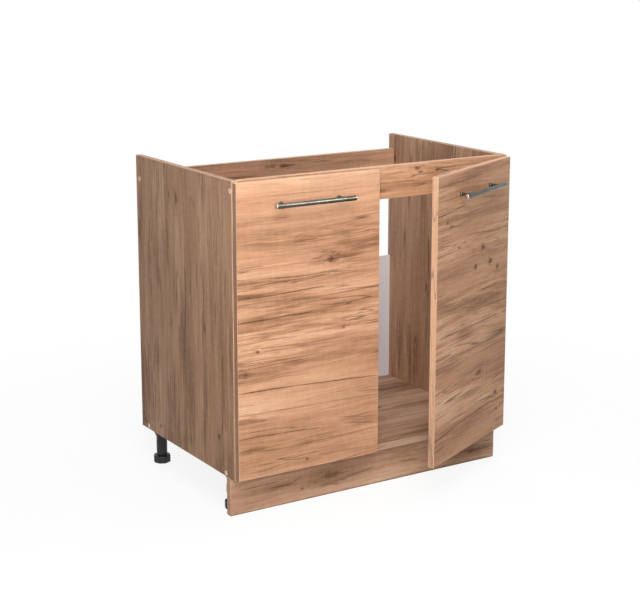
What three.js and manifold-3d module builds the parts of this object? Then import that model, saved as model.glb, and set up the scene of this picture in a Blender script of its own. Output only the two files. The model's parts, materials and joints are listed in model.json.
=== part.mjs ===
// A sink base cabinet for a fitted kitchen: a two-door carcass with an open top and a part-height
// back, on four adjustable legs, with concealed hinges, bar handles and a clip-on plinth.
// Millimetres, +Z up. Inside the cabinet group x = 0 is mid-width, y = 0 is the carcass front with
// +Y towards the wall, and z = 0 is the floor. Each half is built as the right-hand one, and the
// left-hand half is its mirror image. The exported group has its origin under the plinth.
import * as THREE from "three";
import { mergeVertices } from "three/addons/utils/BufferGeometryUtils.js";
import Module from "manifold-3d";

const wasm = await Module();
wasm.setup();

// Carcass
const cabinetWidth = 800;
const sideHeight = 720;
const carcassDepth = 500;
const boardThickness = 16;
const floorClearance = 96; // floor to the underside of the carcass
const railHeight = 80;
const backRailDrop = 40; // top of the sides to the top of the back rail
const backInset = 9; // back edge of the sides to the front face of the back panel
const backThickness = 3;
const backHeight = 371;
const backLift = 1; // underside of the carcass to the lower edge of the back panel
const grooveDepth = 8;
const grooveClearance = 0.3;

// Doors
const doorThickness = 16;
const doorGap = 2; // carcass front to the backs of the closed doors
const doorSideReveal = 1.5;
const doorEndReveal = 3.5; // carcass to door, above and below
const doorCentreGap = 5;
const rightDoorOpening = 26; // degrees, as it stands at rest
const leftDoorOpening = 0;

// Bar handles
const handleLength = 220;
const handleRadius = 6;
const handleEndRounding = 1;
const handleDrop = 56.5; // door top to the bar
const handleStandoff = 30; // door face to the bar's centre line
const postInset = 30; // end of the bar to the centre of its post
const postRadius = 4;
const postCollarRadius = 5.5;
const postCollarLength = 2.5;
const postCollarTaper = 1;

// Concealed hinges
const hingeInset = 110; // door end to the centre of the nearer hinge
const cupBoreRadius = 17.5;
const cupEdgeDistance = 3; // door edge to the cup bore
const doorSkin = 2.5; // board left in front of the cup bore
const cupWall = 1;
const cupFloor = 0.8;
const cupFlangeThickness = 1;
const cupFlangeRadius = 19.5;
const cupScrewSpacing = 48;
const cupScrewOffset = 6; // cup centre to the screw line, away from the door edge
const cupScrewRadius = 2;
const cupEarRadius = 6.5;
const cupFlangeEdge = 3.9; // door edge to the flat side of the flange
const earRounding = 0.95; // share of an ear's half-width taken by its corner radius
const pinRadius = 1.2;
const pinClearance = 0.15;
const eyeWall = 0.85;
const eyeFloorClearance = 0.7;
const armSheet = 1.6;
const cheekSheet = 1.3;
const cheekRise = 12; // run behind the shoulder over which the arm's cheeks deepen
const cheekEnd = 3; // run over which they taper off at the back
const neckWidth = 7;
const neckBend = 3.2;
const notchClearance = 1;
const armWidth = 13;
const armLength = 62; // carcass front to the back end of the arm
const armShoulder = 12; // carcass front to the full width of the arm
const plateBase = 2;
const plateFront = 20; // carcass front to the front end of the mounting plate
const plateLength = 38;
const plateScrewSetback = 37; // carcass front to the screw line
const plateScrewSpacing = 32;
const plateScrewRadius = 2.6;
const plateEarRadius = 7.5;
const plateRise = 6; // height of the rib that carries the arm
const ribInset = 2; // ends of the plate to the ends of the rib
const tongueWidth = 16;
const tongueCorner = 3;
const adjusterRadius = 2.6;
const adjusterSetbacks = [24, 51]; // carcass front to the two adjusting screws

// Carcass screws and their cover caps
const screwLength = 50;
const screwHeadRadius = 5;
const screwHeadDepth = 3.5;
const screwShankRadius = 3.4;
const screwShankLength = 14;
const screwCoreRadius = 2.5;
const screwTip = 3;
const screwSocketRadius = 2;
const screwSocketDepth = 3;
const drillClearance = 0.15;
const capRadius = 6.5;
const capTopRadius = 4.9;
const capHeight = 1;
const capPipLength = 2;
const railScrewDrop = 24; // top of the front rail to its screw
const backRailScrewDrop = 20.5;
const bottomScrewFront = 44; // carcass front to the first screw of the bottom panel
const bottomScrewBack = 39; // back edge of the side to the second one

// Legs
const legSideInset = 36; // outer face of the side to the leg's centre line
const legFrontInset = 72;
const legBackInset = 39;
const footRadius = 22.5;
const footHeight = 20;
const footRounding = 3;
const footLobes = 8;
const footLobeDepth = 1.2;
const stemRoot = 1; // length of the stem that is sunk in the foot
const stemRadius = 5;
const stemLength = 42;
const stemClearance = 0.5;
const tubeRadius = 14;
const tubeTopWall = 3;
const legPlateSize = 60;
const legPlateThickness = 4;
const legPlateCorner = 9;
const legPlateScrewInset = 8;
const legPlateScrewRadius = 2.3;
const socketHeight = 18;
const socketWall = 1.8;
const socketRimHeight = 4.5;
const socketRimTaper = 1;
const socketTopRadius = 25;
const socketDepth = 12; // how far the tube plugs in

// Plinth and its clips
const plinthThickness = 16;
const plinthHeight = 95;
const plinthSetback = 24; // carcass front to the face of the plinth
const clipHeight = 20;
const clipLift = 40; // floor to the lower side of the clip
const clipWall = 2.5;
const clipMouth = 100; // degrees left open at the back of the clip's ring
const clipBaseWidth = 40;
const clipNeckWidth = 14;

const seatGap = 0.3; // left between a piece and the turned or round piece that carries it
const cutOverrun = 1; // length by which a cutter runs past the face that it opens
const mergeDistance = 1e-4;
const roundSides = 24;
const smallSides = 12;
const holeSides = 10;
const lobeSides = 4; // sides on each lobe of the foot
const cornerSteps = 2; // steps in each half of a round corner
const ringSteps = 10; // steps in each half of the clip's ring

// Places worked out from the sizes above
const rightOuterX = cabinetWidth / 2;
const rightInnerX = rightOuterX - boardThickness;
const topZ = floorClearance + sideHeight;
const backFrontY = carcassDepth - backInset;
const backRailTop = topZ - backRailDrop;
const doorBackY = -doorGap;
const doorFaceY = doorBackY - doorThickness;
const doorEdgeX = rightOuterX - doorSideReveal;
const doorLow = floorClearance + doorEndReveal;
const doorHigh = topZ - doorEndReveal;
const doorCentreX = (doorCentreGap / 2 + doorEdgeX) / 2;
const handleZ = doorHigh - handleDrop;
const hingeHeights = { lower: doorLow + hingeInset, upper: doorHigh - hingeInset };
const cupX = doorEdgeX - cupEdgeDistance - cupBoreRadius;
const cupRadius = cupBoreRadius - seatGap;
const cavityRadius = cupRadius - cupWall;
const boreDepth = doorThickness - doorSkin;
const cavityDepth = boreDepth - seatGap - cupFloor;
const eyeRadius = pinRadius + pinClearance + eyeWall;
const notchHalf = neckWidth / 2 + notchClearance;
const boreSagitta = cupBoreRadius - Math.sqrt(cupBoreRadius ** 2 - (neckWidth / 2) ** 2);
const pivotX = doorEdgeX - cupEdgeDistance - boreSagitta - seatGap - eyeRadius;
const pivotY = doorBackY - (cavityDepth - eyeFloorClearance - eyeRadius);
const plateTopX = rightInnerX - plateBase - plateRise;
const armOuterX = plateTopX - seatGap - armSheet;
const legX = rightOuterX - legSideInset;
const legRows = { front: legFrontInset, back: carcassDepth - legBackInset };
const tubeTop = floorClearance - legPlateThickness - socketHeight + socketDepth;
const clipInnerRadius = tubeRadius + seatGap;
const plinthBackY = plinthSetback + plinthThickness;
const carcassScrews = {
  front_rail: { y: boardThickness / 2, z: topZ - railScrewDrop },
  back_rail: { y: backFrontY - boardThickness / 2, z: backRailTop - backRailScrewDrop },
  bottom_front: { y: bottomScrewFront, z: floorClearance + boardThickness / 2 },
  bottom_back: { y: carcassDepth - bottomScrewBack, z: floorClearance + boardThickness / 2 },
};

const finish = (colour, roughness, metalness = 0) =>
  new THREE.MeshStandardMaterial({ color: colour, roughness, metalness });
const oak = finish(0xc09172, 0.55);
const shadedOak = finish(0x92735f, 0.6);
const whiteBoard = finish(0xe4dcda, 0.5);
const darkChrome = finish(0x8c8781, 0.2, 1);
const nickel = finish(0xb4b6b8, 0.3, 1);
const zincSteel = finish(0x9d9c98, 0.4, 1);
const blackPlastic = finish(0x232423, 0.45);
const paleCap = finish(0xdbb497, 0.5);
const clearPlastic = finish(0xd8d8d4, 0.4);

// ---- Solids ----

/** A closed three.js geometry as a solid that can be joined and cut. */
function solidOf(geometry) {
  const bare = geometry.clone();
  bare.deleteAttribute("normal");
  bare.deleteAttribute("uv");
  const merged = mergeVertices(bare, mergeDistance);
  return new wasm.Manifold(
    new wasm.Mesh({
      numProp: 3,
      vertProperties: Float32Array.from(merged.attributes.position.array),
      triVerts: Uint32Array.from(merged.index.array),
    }),
  );
}

/** The solid of geometries joined together and then cut by others, back as a geometry. */
function shaped(joined, cutters = []) {
  const whole = joined.map(solidOf).reduce((a, b) => a.add(b));
  const mesh = cutters.map(solidOf).reduce((a, b) => a.subtract(b), whole).getMesh();
  const geometry = new THREE.BufferGeometry();
  geometry.setAttribute("position", new THREE.BufferAttribute(mesh.vertProperties, mesh.numProp));
  geometry.setIndex(new THREE.BufferAttribute(mesh.triVerts, 1));
  geometry.computeVertexNormals();
  return geometry;
}

/** A box between two values along each axis. */
function block([x0, x1], [y0, y1], [z0, z1]) {
  const box = new THREE.BoxGeometry(Math.abs(x1 - x0), Math.abs(y1 - y0), Math.abs(z1 - z0));
  return box.translate((x0 + x1) / 2, (y0 + y1) / 2, (z0 + z1) / 2);
}

/** A round bar along "x", "y" or "z", from one value to another on that axis. */
function bar(axis, radius, from, to, centre, sides = holeSides) {
  const geometry = new THREE.CylinderGeometry(radius, radius, to - from, sides);
  if (axis === "x") geometry.rotateZ(-Math.PI / 2);
  if (axis === "z") geometry.rotateX(Math.PI / 2);
  const place = { ...centre, [axis]: (from + to) / 2 };
  return geometry.translate(place.x, place.y, place.z);
}

/** A profile of [radius, height] pairs turned about the Z axis. */
function turned(profile, sides = roundSides) {
  const points = profile.map(([radius, height]) => new THREE.Vector2(radius, height));
  return new THREE.LatheGeometry(points, sides).rotateX(Math.PI / 2);
}

/** A flat outline in X and Y, raised along Z. */
function raisedXY(shape, low, high, options = {}) {
  const geometry = new THREE.ExtrudeGeometry(shape, {
    depth: high - low,
    bevelEnabled: false,
    curveSegments: cornerSteps,
    ...options,
  });
  return geometry.translate(0, 0, low);
}

/** A flat outline in X and Z, raised along Y. */
function raisedXZ(shape, low, high) {
  const turn = new THREE.Matrix4().makeBasis(
    new THREE.Vector3(1, 0, 0),
    new THREE.Vector3(0, 0, 1),
    new THREE.Vector3(0, -1, 0),
  );
  return raisedXY(shape, -high, -low).applyMatrix4(turn);
}

/** A flat outline in Y and Z, raised along X. */
function raisedYZ(shape, low, high) {
  const turn = new THREE.Matrix4().makeBasis(
    new THREE.Vector3(0, 1, 0),
    new THREE.Vector3(0, 0, 1),
    new THREE.Vector3(1, 0, 0),
  );
  return raisedXY(shape, low, high).applyMatrix4(turn);
}

/** A rectangle with round corners about a centre. */
function roundedRectangle(x, y, width, height, radius) {
  const shape = new THREE.Shape();
  const right = x + width / 2 - radius;
  const left = x - width / 2 + radius;
  const top = y + height / 2 - radius;
  const bottom = y - height / 2 + radius;
  shape.absarc(right, bottom, radius, -Math.PI / 2, 0);
  shape.absarc(right, top, radius, 0, Math.PI / 2);
  shape.absarc(left, top, radius, Math.PI / 2, Math.PI);
  shape.absarc(left, bottom, radius, Math.PI, 1.5 * Math.PI);
  shape.closePath();
  return shape;
}

/** A named mesh, moved to its place. */
function piece(name, geometry, material, x = 0, y = 0, z = 0) {
  const mesh = new THREE.Mesh(geometry, material);
  mesh.name = name;
  mesh.position.set(x, y, z);
  return mesh;
}

// ---- Carcass ----

/** The drilling for one carcass screw, from the outer face of the right side inwards. */
function screwDrilling({ y, z }) {
  const grown = (radius) => radius + drillClearance;
  const profile = [
    [0, -cutOverrun],
    [grown(screwHeadRadius), -cutOverrun],
    [grown(screwHeadRadius), 0],
    [grown(screwShankRadius), screwHeadDepth],
    [grown(screwShankRadius), screwShankLength + drillClearance],
    [grown(screwCoreRadius), screwShankLength + drillClearance],
    [grown(screwCoreRadius), screwLength + cutOverrun],
    [0, screwLength + cutOverrun],
  ];
  return turned(profile, holeSides).rotateY(-Math.PI / 2).translate(rightOuterX, y, z);
}

/** The same drilling seen from the left side. */
function mirroredDrilling(place) {
  return screwDrilling(place).rotateZ(Math.PI).translate(0, 2 * place.y, 0);
}

/** A board that spans the sides, drilled at both ends for its carcass screws. */
function spanningBoard(name, yRange, zRange, screws, material) {
  const board = block([-rightInnerX, rightInnerX], yRange, zRange);
  const drillings = screws.flatMap((place) => [screwDrilling(place), mirroredDrilling(place)]);
  return piece(name, shaped([board], drillings), material);
}

/** Right side: grooved for the back panel and drilled for four carcass screws. */
function sidePanel(hand) {
  const board = block([rightInnerX, rightOuterX], [0, carcassDepth], [floorClearance, topZ]);
  const groove = block(
    [rightInnerX - cutOverrun, rightInnerX + grooveDepth],
    [backFrontY - grooveClearance, backFrontY + backThickness + grooveClearance],
    [floorClearance - cutOverrun, topZ + cutOverrun],
  );
  const drillings = Object.values(carcassScrews).map(screwDrilling);
  return piece(`${hand}_side`, shaped([board], [groove, ...drillings]), shadedOak);
}

/** Back panel, held in the grooves of both sides and open above for the plumbing. */
function backPanel() {
  const reach = rightInnerX + grooveDepth - grooveClearance;
  const low = floorClearance + backLift;
  const sheet = block(
    [-reach, reach],
    [backFrontY, backFrontY + backThickness],
    [low, low + backHeight],
  );
  return piece("back_panel", sheet, whiteBoard);
}

/** Bottom panel and the two rails between the sides. */
function spanningBoards() {
  const { front_rail, back_rail, bottom_front, bottom_back } = carcassScrews;
  return [
    spanningBoard(
      "bottom_panel",
      [0, backFrontY],
      [floorClearance, floorClearance + boardThickness],
      [bottom_front, bottom_back],
      oak,
    ),
    spanningBoard("front_rail", [0, boardThickness], [topZ - railHeight, topZ], [front_rail], oak),
    spanningBoard(
      "back_rail",
      [backFrontY - boardThickness, backFrontY],
      [backRailTop - railHeight, backRailTop],
      [back_rail],
      oak,
    ),
  ];
}

/** One carcass screw, its countersunk head flush with the side's outer face. */
function carcassScrew(hand, label, { y, z }) {
  const profile = [
    [0, screwSocketDepth],
    [screwSocketRadius, screwSocketDepth],
    [screwSocketRadius, 0],
    [screwHeadRadius, 0],
    [screwShankRadius, screwHeadDepth],
    [screwShankRadius, screwShankLength],
    [screwCoreRadius, screwShankLength],
    [screwCoreRadius, screwLength - screwTip],
    [0, screwLength],
  ];
  const geometry = turned(profile, holeSides).rotateY(-Math.PI / 2).translate(rightOuterX, y, z);
  return piece(`${hand}_screw_${label}`, geometry, zincSteel);
}

/** The pale cap that covers a screw head, its pip in the head's socket. */
function coverCap(hand, label, { y, z }) {
  const pipRadius = screwSocketRadius - seatGap;
  const profile = [
    [0, -capPipLength],
    [pipRadius, -capPipLength],
    [pipRadius, 0],
    [capRadius, 0],
    [capTopRadius, capHeight],
    [0, capHeight],
  ];
  const geometry = turned(profile, smallSides).rotateY(Math.PI / 2).translate(rightOuterX, y, z);
  return piece(`${hand}_cap_${label}`, geometry, paleCap);
}

// ---- Doors ----

/** Right door with its two cup bores in the back face. */
function doorPanel(hand) {
  const board = block(
    [doorCentreGap / 2, doorEdgeX],
    [doorFaceY, doorBackY],
    [doorLow, doorHigh],
  );
  const boreTop = doorBackY + cutOverrun;
  const bores = Object.values(hingeHeights).map((z) =>
    bar("y", cupBoreRadius, doorBackY - boreDepth, boreTop, { x: cupX, z }, roundSides),
  );
  return piece(`${hand}_door`, shaped([board], bores), oak);
}

/** Bar handle: a round bar across two turned posts that are hollowed to seat on it. */
function barHandle(hand) {
  const barY = doorFaceY - handleStandoff;
  const half = handleLength / 2;
  const inner = handleRadius - handleEndRounding;
  const profile = [
    [0, -half],
    [inner, -half],
    [handleRadius, -half + handleEndRounding],
    [handleRadius, half - handleEndRounding],
    [inner, half],
    [0, half],
  ];
  const rod = turned(profile, roundSides).rotateY(Math.PI / 2).translate(doorCentreX, barY, handleZ);
  const postLength = handleStandoff - seatGap;
  const postProfile = [
    [0, 0],
    [postCollarRadius, 0],
    [postCollarRadius, postCollarLength],
    [postRadius, postCollarLength + postCollarTaper],
    [postRadius, postLength],
    [0, postLength],
  ];
  const saddle = bar(
    "x",
    handleRadius + seatGap,
    doorCentreX - half,
    doorCentreX + half,
    { y: barY, z: handleZ },
    roundSides,
  );
  const post = (x) =>
    turned(postProfile, smallSides)
      .rotateX(Math.PI / 2)
      .translate(x, doorFaceY - seatGap, handleZ);
  return [
    piece(`${hand}_handle_bar`, rod, darkChrome),
    ...[
      ["inner", doorCentreX - half + postInset],
      ["outer", doorCentreX + half - postInset],
    ].map(([label, x]) =>
      piece(`${hand}_handle_post_${label}`, shaped([post(x)], [saddle]), darkChrome),
    ),
  ];
}

// ---- Hinges ----

/** Hinge cup: a turned pot with a flat flange, notched for the arm's eye, and its cross pin. */
function hingeCup(hand, level, z) {
  const flangeLow = doorBackY + seatGap;
  const flangeHigh = flangeLow + cupFlangeThickness;
  const profile = [
    [0, -boreDepth + seatGap],
    [cupRadius, -boreDepth + seatGap],
    [cupRadius, seatGap + cupFlangeThickness],
    [cavityRadius, seatGap + cupFlangeThickness],
    [cavityRadius, -cavityDepth],
    [0, -cavityDepth],
  ];
  const pot = turned(profile).rotateX(-Math.PI / 2).translate(cupX, doorBackY, z);
  const earX = cupX - cupScrewOffset;
  const ears = roundedRectangle(
    earX,
    z,
    2 * cupEarRadius,
    cupScrewSpacing + 2 * cupEarRadius,
    cupEarRadius * earRounding,
  );
  const flangeParts = [
    raisedXZ(ears, flangeLow, flangeHigh),
    bar("y", cupFlangeRadius, flangeLow, flangeHigh, { x: cupX, z }, roundSides),
  ];
  const low = flangeLow - cutOverrun;
  const high = flangeHigh + cutOverrun;
  const cavityCut = bar("y", cavityRadius, low, high, { x: cupX, z }, roundSides);
  const sideCut = block(
    [doorEdgeX - cupFlangeEdge, doorEdgeX + cupFlangeRadius],
    [flangeLow, high],
    [z - cupFlangeRadius, z + cupFlangeRadius],
  );
  const notch = block(
    [pivotX - eyeRadius, doorEdgeX],
    [doorBackY - cavityDepth, high],
    [z - notchHalf, z + notchHalf],
  );
  const screwHoles = [-1, 1].map((side) =>
    bar("y", cupScrewRadius, low, high, { x: earX, z: z + (side * cupScrewSpacing) / 2 }),
  );
  const pinReach = pivotX - cupX + pinRadius;
  const pinHalf = Math.sqrt((cupRadius - seatGap) ** 2 - pinReach ** 2);
  const pin = bar("z", pinRadius, z - pinHalf, z + pinHalf, { x: pivotX, y: pivotY });
  const lugs = [-1, 1].map((side) =>
    block(
      [pivotX - eyeRadius, cupX + pinReach],
      [doorBackY - cavityDepth - cupFloor / 2, pivotY + eyeRadius],
      [z + side * notchHalf, z + side * pinHalf].sort((a, b) => a - b),
    ),
  );
  const shell = shaped([pot, ...flangeParts], [cavityCut, sideCut, notch, ...screwHoles]);
  return piece(`${hand}_hinge_cup_${level}`, shaped([shell, ...lugs, pin]), nickel);
}

/** Hinge arm: a channel over the mounting plate that ends in a bent neck with the pin's eye. */
function hingeArm(hand, level, z) {
  const neckTopY = pivotY - eyeRadius;
  const neckInnerX = armOuterX + armSheet;
  const neck = new THREE.Shape();
  neck.moveTo(pivotX, neckTopY);
  neck.lineTo(pivotX, neckTopY + armSheet);
  neck.lineTo(neckInnerX, neckTopY + armSheet);
  neck.lineTo(neckInnerX, armShoulder);
  neck.lineTo(armOuterX, armShoulder);
  neck.lineTo(armOuterX, neckTopY + neckBend);
  neck.absarc(armOuterX + neckBend, neckTopY + neckBend, neckBend, Math.PI, 1.5 * Math.PI, false);
  neck.closePath();
  const eye = bar("z", eyeRadius, z - neckWidth / 2, z + neckWidth / 2, { x: pivotX, y: pivotY });
  const eyeBore = bar("z", pinRadius + pinClearance, z - neckWidth, z + neckWidth, {
    x: pivotX,
    y: pivotY,
  });
  const web = new THREE.Shape([
    new THREE.Vector2(0, z - neckWidth / 2),
    new THREE.Vector2(armShoulder, z - armWidth / 2),
    new THREE.Vector2(armLength, z - armWidth / 2),
    new THREE.Vector2(armLength, z + armWidth / 2),
    new THREE.Vector2(armShoulder, z + armWidth / 2),
    new THREE.Vector2(0, z + neckWidth / 2),
  ]);
  const channelInner = rightInnerX - plateBase - seatGap;
  const cheekTop = armShoulder + cheekRise;
  const cheek = new THREE.Shape([
    new THREE.Vector2(armOuterX, armShoulder),
    new THREE.Vector2(neckInnerX, armShoulder),
    new THREE.Vector2(channelInner, cheekTop),
    new THREE.Vector2(channelInner, armLength - cheekEnd),
    new THREE.Vector2(neckInnerX, armLength),
    new THREE.Vector2(armOuterX, armLength),
  ]);
  const cheeks = [-1, 1].map((side) => {
    const outer = z + (side * armWidth) / 2;
    const inner = outer - side * cheekSheet;
    return raisedXY(cheek, Math.min(outer, inner), Math.max(outer, inner));
  });
  const adjusters = adjusterSetbacks.map((y) =>
    bar("x", adjusterRadius, armOuterX - cutOverrun, neckInnerX + cutOverrun, { y, z }),
  );
  const solids = [
    raisedXY(neck, z - neckWidth / 2, z + neckWidth / 2),
    raisedYZ(web, armOuterX, neckInnerX),
    eye,
    ...cheeks,
  ];
  return piece(`${hand}_hinge_arm_${level}`, shaped(solids, [eyeBore, ...adjusters]), nickel);
}

/** Mounting plate screwed to the side, with two ears and the rib that the arm seats on. */
function mountingPlate(hand, level, z) {
  const baseX = rightInnerX - plateBase;
  const ribHalf = armWidth / 2 - armSheet - seatGap;
  const ears = roundedRectangle(
    plateScrewSetback,
    z,
    2 * plateEarRadius,
    plateScrewSpacing + 2 * plateEarRadius,
    plateEarRadius * earRounding,
  );
  const tongue = roundedRectangle(
    plateFront + plateLength / 2,
    z,
    plateLength,
    tongueWidth,
    tongueCorner,
  );
  const rib = block(
    [plateTopX, baseX],
    [plateFront + ribInset, plateFront + plateLength - ribInset],
    [z - ribHalf, z + ribHalf],
  );
  const holes = [-1, 1].map((side) =>
    bar("x", plateScrewRadius, baseX - cutOverrun, rightInnerX + cutOverrun, {
      y: plateScrewSetback,
      z: z + (side * plateScrewSpacing) / 2,
    }),
  );
  const solids = [raisedYZ(ears, baseX, rightInnerX), raisedYZ(tongue, baseX, rightInnerX), rib];
  return piece(`${hand}_hinge_plate_${level}`, shaped(solids, holes), nickel);
}

// ---- Legs ----

/** Leg bracket: a screwed plate under the carcass with a flared socket for the tube. */
function legBracket(name, y) {
  const plateLow = floorClearance - legPlateThickness;
  const socketLow = plateLow - socketHeight;
  const boreRadius = tubeRadius + seatGap;
  const rimRadius = boreRadius + socketWall;
  const plate = raisedXY(
    roundedRectangle(0, 0, legPlateSize, legPlateSize, legPlateCorner),
    plateLow,
    floorClearance,
  );
  const flare = turned([
    [0, socketLow],
    [rimRadius, socketLow],
    [rimRadius + socketRimTaper, socketLow + socketRimHeight],
    [socketTopRadius, plateLow],
    [socketTopRadius, plateLow + legPlateThickness / 2],
    [0, plateLow + legPlateThickness / 2],
  ]);
  const boreLow = socketLow - cutOverrun;
  const bore = bar("z", boreRadius, boreLow, tubeTop + seatGap, { x: 0, y: 0 }, roundSides);
  const reach = legPlateSize / 2 - legPlateScrewInset;
  const holes = [-1, 1].flatMap((sx) =>
    [-1, 1].map((sy) =>
      bar("z", legPlateScrewRadius, plateLow - cutOverrun, floorClearance + cutOverrun, {
        x: sx * reach,
        y: sy * reach,
      }),
    ),
  );
  return piece(`${name}_bracket`, shaped([plate, flare], [bore, ...holes]), blackPlastic, legX, y);
}

/** Leg tube, bored from below for the foot's stem. */
function legTube(name, y) {
  const tubeLow = footHeight + seatGap;
  const profile = [
    [stemRadius + stemClearance, tubeLow],
    [tubeRadius, tubeLow],
    [tubeRadius, tubeTop],
    [0, tubeTop],
    [0, tubeTop - tubeTopWall],
    [stemRadius + stemClearance, tubeTop - tubeTopWall],
    [stemRadius + stemClearance, tubeLow],
  ];
  return piece(`${name}_tube`, turned(profile), blackPlastic, legX, y);
}

/** Screw foot: a lobed grip disc with a stem that runs up into the tube. */
function legFoot(name, y) {
  const outline = new THREE.Shape();
  const steps = footLobes * lobeSides;
  for (let step = 0; step < steps; step++) {
    const angle = (2 * Math.PI * step) / steps;
    const dip = footLobeDepth * (0.5 - 0.5 * Math.cos(footLobes * angle));
    const radius = footRadius - footRounding - dip;
    const point = [radius * Math.cos(angle), radius * Math.sin(angle)];
    if (step === 0) outline.moveTo(...point);
    else outline.lineTo(...point);
  }
  outline.closePath();
  const disc = raisedXY(outline, footRounding, footHeight - footRounding, {
    bevelEnabled: true,
    bevelSize: footRounding,
    bevelThickness: footRounding,
    bevelSegments: cornerSteps,
  });
  const stemLow = footHeight - stemRoot;
  const stem = bar("z", stemRadius, stemLow, footHeight + stemLength, { x: 0, y: 0 });
  return piece(`${name}_foot`, shaped([disc, stem]), blackPlastic, legX, y);
}

// ---- Plinth ----

/** Plinth board across the full width, standing on the floor in front of the legs. */
function plinthBoard() {
  const board = block([-rightOuterX, rightOuterX], [plinthSetback, plinthBackY], [0, plinthHeight]);
  return piece("plinth", board, oak);
}

/** Clip on the back of the plinth that snaps round the front leg's tube. */
function plinthClip(hand) {
  const centreY = legFrontInset;
  const outerRadius = clipInnerRadius + clipWall;
  const mouth = THREE.MathUtils.degToRad(clipMouth) / 2;
  const ring = new THREE.Shape();
  ring.absarc(legX, centreY, outerRadius, Math.PI / 2 + mouth, 2.5 * Math.PI - mouth, false);
  ring.absarc(legX, centreY, clipInnerRadius, 2.5 * Math.PI - mouth, Math.PI / 2 + mouth, true);
  ring.closePath();
  const low = clipLift;
  const high = clipLift + clipHeight;
  const base = block(
    [legX - clipBaseWidth / 2, legX + clipBaseWidth / 2],
    [plinthBackY, plinthBackY + clipWall],
    [low, high],
  );
  const neck = block(
    [legX - clipNeckWidth / 2, legX + clipNeckWidth / 2],
    [plinthBackY, centreY - clipInnerRadius - clipWall / 2],
    [low, high],
  );
  const tube = bar(
    "z",
    clipInnerRadius,
    low - cutOverrun,
    high + cutOverrun,
    { x: legX, y: centreY },
    roundSides,
  );
  const solids = [raisedXY(ring, low, high, { curveSegments: ringSteps }), base, neck];
  return piece(`${hand}_plinth_clip`, shaped(solids, [tube]), clearPlastic);
}

// ---- Assembly ----

/** Everything that turns with one door, in a group that turns about the hinge pins. */
function doorAssembly(hand, opening) {
  const swing = new THREE.Group();
  swing.position.set(pivotX, pivotY, 0);
  swing.rotation.z = THREE.MathUtils.degToRad(opening);
  const closed = new THREE.Group();
  closed.position.set(-pivotX, -pivotY, 0);
  closed.add(doorPanel(hand), ...barHandle(hand));
  for (const [level, z] of Object.entries(hingeHeights)) closed.add(hingeCup(hand, level, z));
  swing.add(closed);
  return swing;
}

/** One half of the cabinet, built as the right-hand one. */
function cabinetHalf(hand, opening) {
  const half = new THREE.Group();
  half.add(sidePanel(hand), doorAssembly(hand, opening), plinthClip(hand));
  for (const [level, z] of Object.entries(hingeHeights)) {
    half.add(hingeArm(hand, level, z), mountingPlate(hand, level, z));
  }
  for (const [label, place] of Object.entries(carcassScrews)) {
    half.add(carcassScrew(hand, label, place), coverCap(hand, label, place));
  }
  for (const [row, y] of Object.entries(legRows)) {
    const name = `${hand}_${row}_leg`;
    half.add(legBracket(name, y), legTube(name, y), legFoot(name, y));
  }
  return half;
}

/** The whole cabinet, with the left-hand half mirrored. */
function sinkBaseCabinet() {
  const cabinet = new THREE.Group();
  cabinet.position.y = -(plinthSetback + plinthThickness / 2);
  const leftHalf = cabinetHalf("left", leftDoorOpening);
  leftHalf.scale.x = -1;
  cabinet.add(cabinetHalf("right", rightDoorOpening), leftHalf);
  cabinet.add(...spanningBoards(), backPanel(), plinthBoard());
  const root = new THREE.Group();
  root.add(cabinet);
  return root;
}

export default sinkBaseCabinet();
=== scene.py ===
"""Looks of the sink base cabinet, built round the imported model.

The boards, hinges and carcass screws are the model's own nodes, with rounded arrises and procedural
finishes. Handles, cover caps, legs and plinth clips are finer pieces that stand for their nodes, and
the small fasteners are added. Everything is in metres in the row frame: the floor is z = 0, +Y runs
to the wall, and the doors face -Y. Pieces are shaped for the right-hand half of the cabinet with its
door closed, then mirrored for the left-hand half or swung to where the right door stands.
"""

import json
import logging
import math
from dataclasses import dataclass, field
from enum import Enum
from typing import Any, ClassVar, Iterable, Sequence

import bmesh
import bpy
from bpy.types import Material, Mesh, Node, NodeSocket, NodeTree, Object, World
from mathutils import Matrix, Vector


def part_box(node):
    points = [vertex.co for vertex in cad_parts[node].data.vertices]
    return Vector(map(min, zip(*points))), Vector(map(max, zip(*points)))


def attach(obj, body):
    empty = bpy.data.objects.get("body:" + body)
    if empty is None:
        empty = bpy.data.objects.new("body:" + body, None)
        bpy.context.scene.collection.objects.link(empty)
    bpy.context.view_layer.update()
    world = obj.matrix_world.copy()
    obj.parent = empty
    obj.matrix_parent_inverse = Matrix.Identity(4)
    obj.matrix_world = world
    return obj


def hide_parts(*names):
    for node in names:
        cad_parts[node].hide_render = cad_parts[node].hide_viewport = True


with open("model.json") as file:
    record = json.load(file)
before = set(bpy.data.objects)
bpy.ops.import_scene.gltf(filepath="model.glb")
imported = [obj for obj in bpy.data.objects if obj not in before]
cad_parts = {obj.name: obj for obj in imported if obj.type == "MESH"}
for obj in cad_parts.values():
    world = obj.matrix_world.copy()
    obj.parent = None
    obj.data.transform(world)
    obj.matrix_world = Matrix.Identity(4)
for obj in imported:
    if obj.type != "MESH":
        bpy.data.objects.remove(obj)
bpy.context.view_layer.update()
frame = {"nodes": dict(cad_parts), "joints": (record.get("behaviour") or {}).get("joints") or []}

log = logging.getLogger("cabinet")

Pair = tuple[float, float]
Triple = tuple[float, float, float]
Rows = tuple[tuple[float, ...], ...]
Coloured = tuple[float, str]

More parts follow.
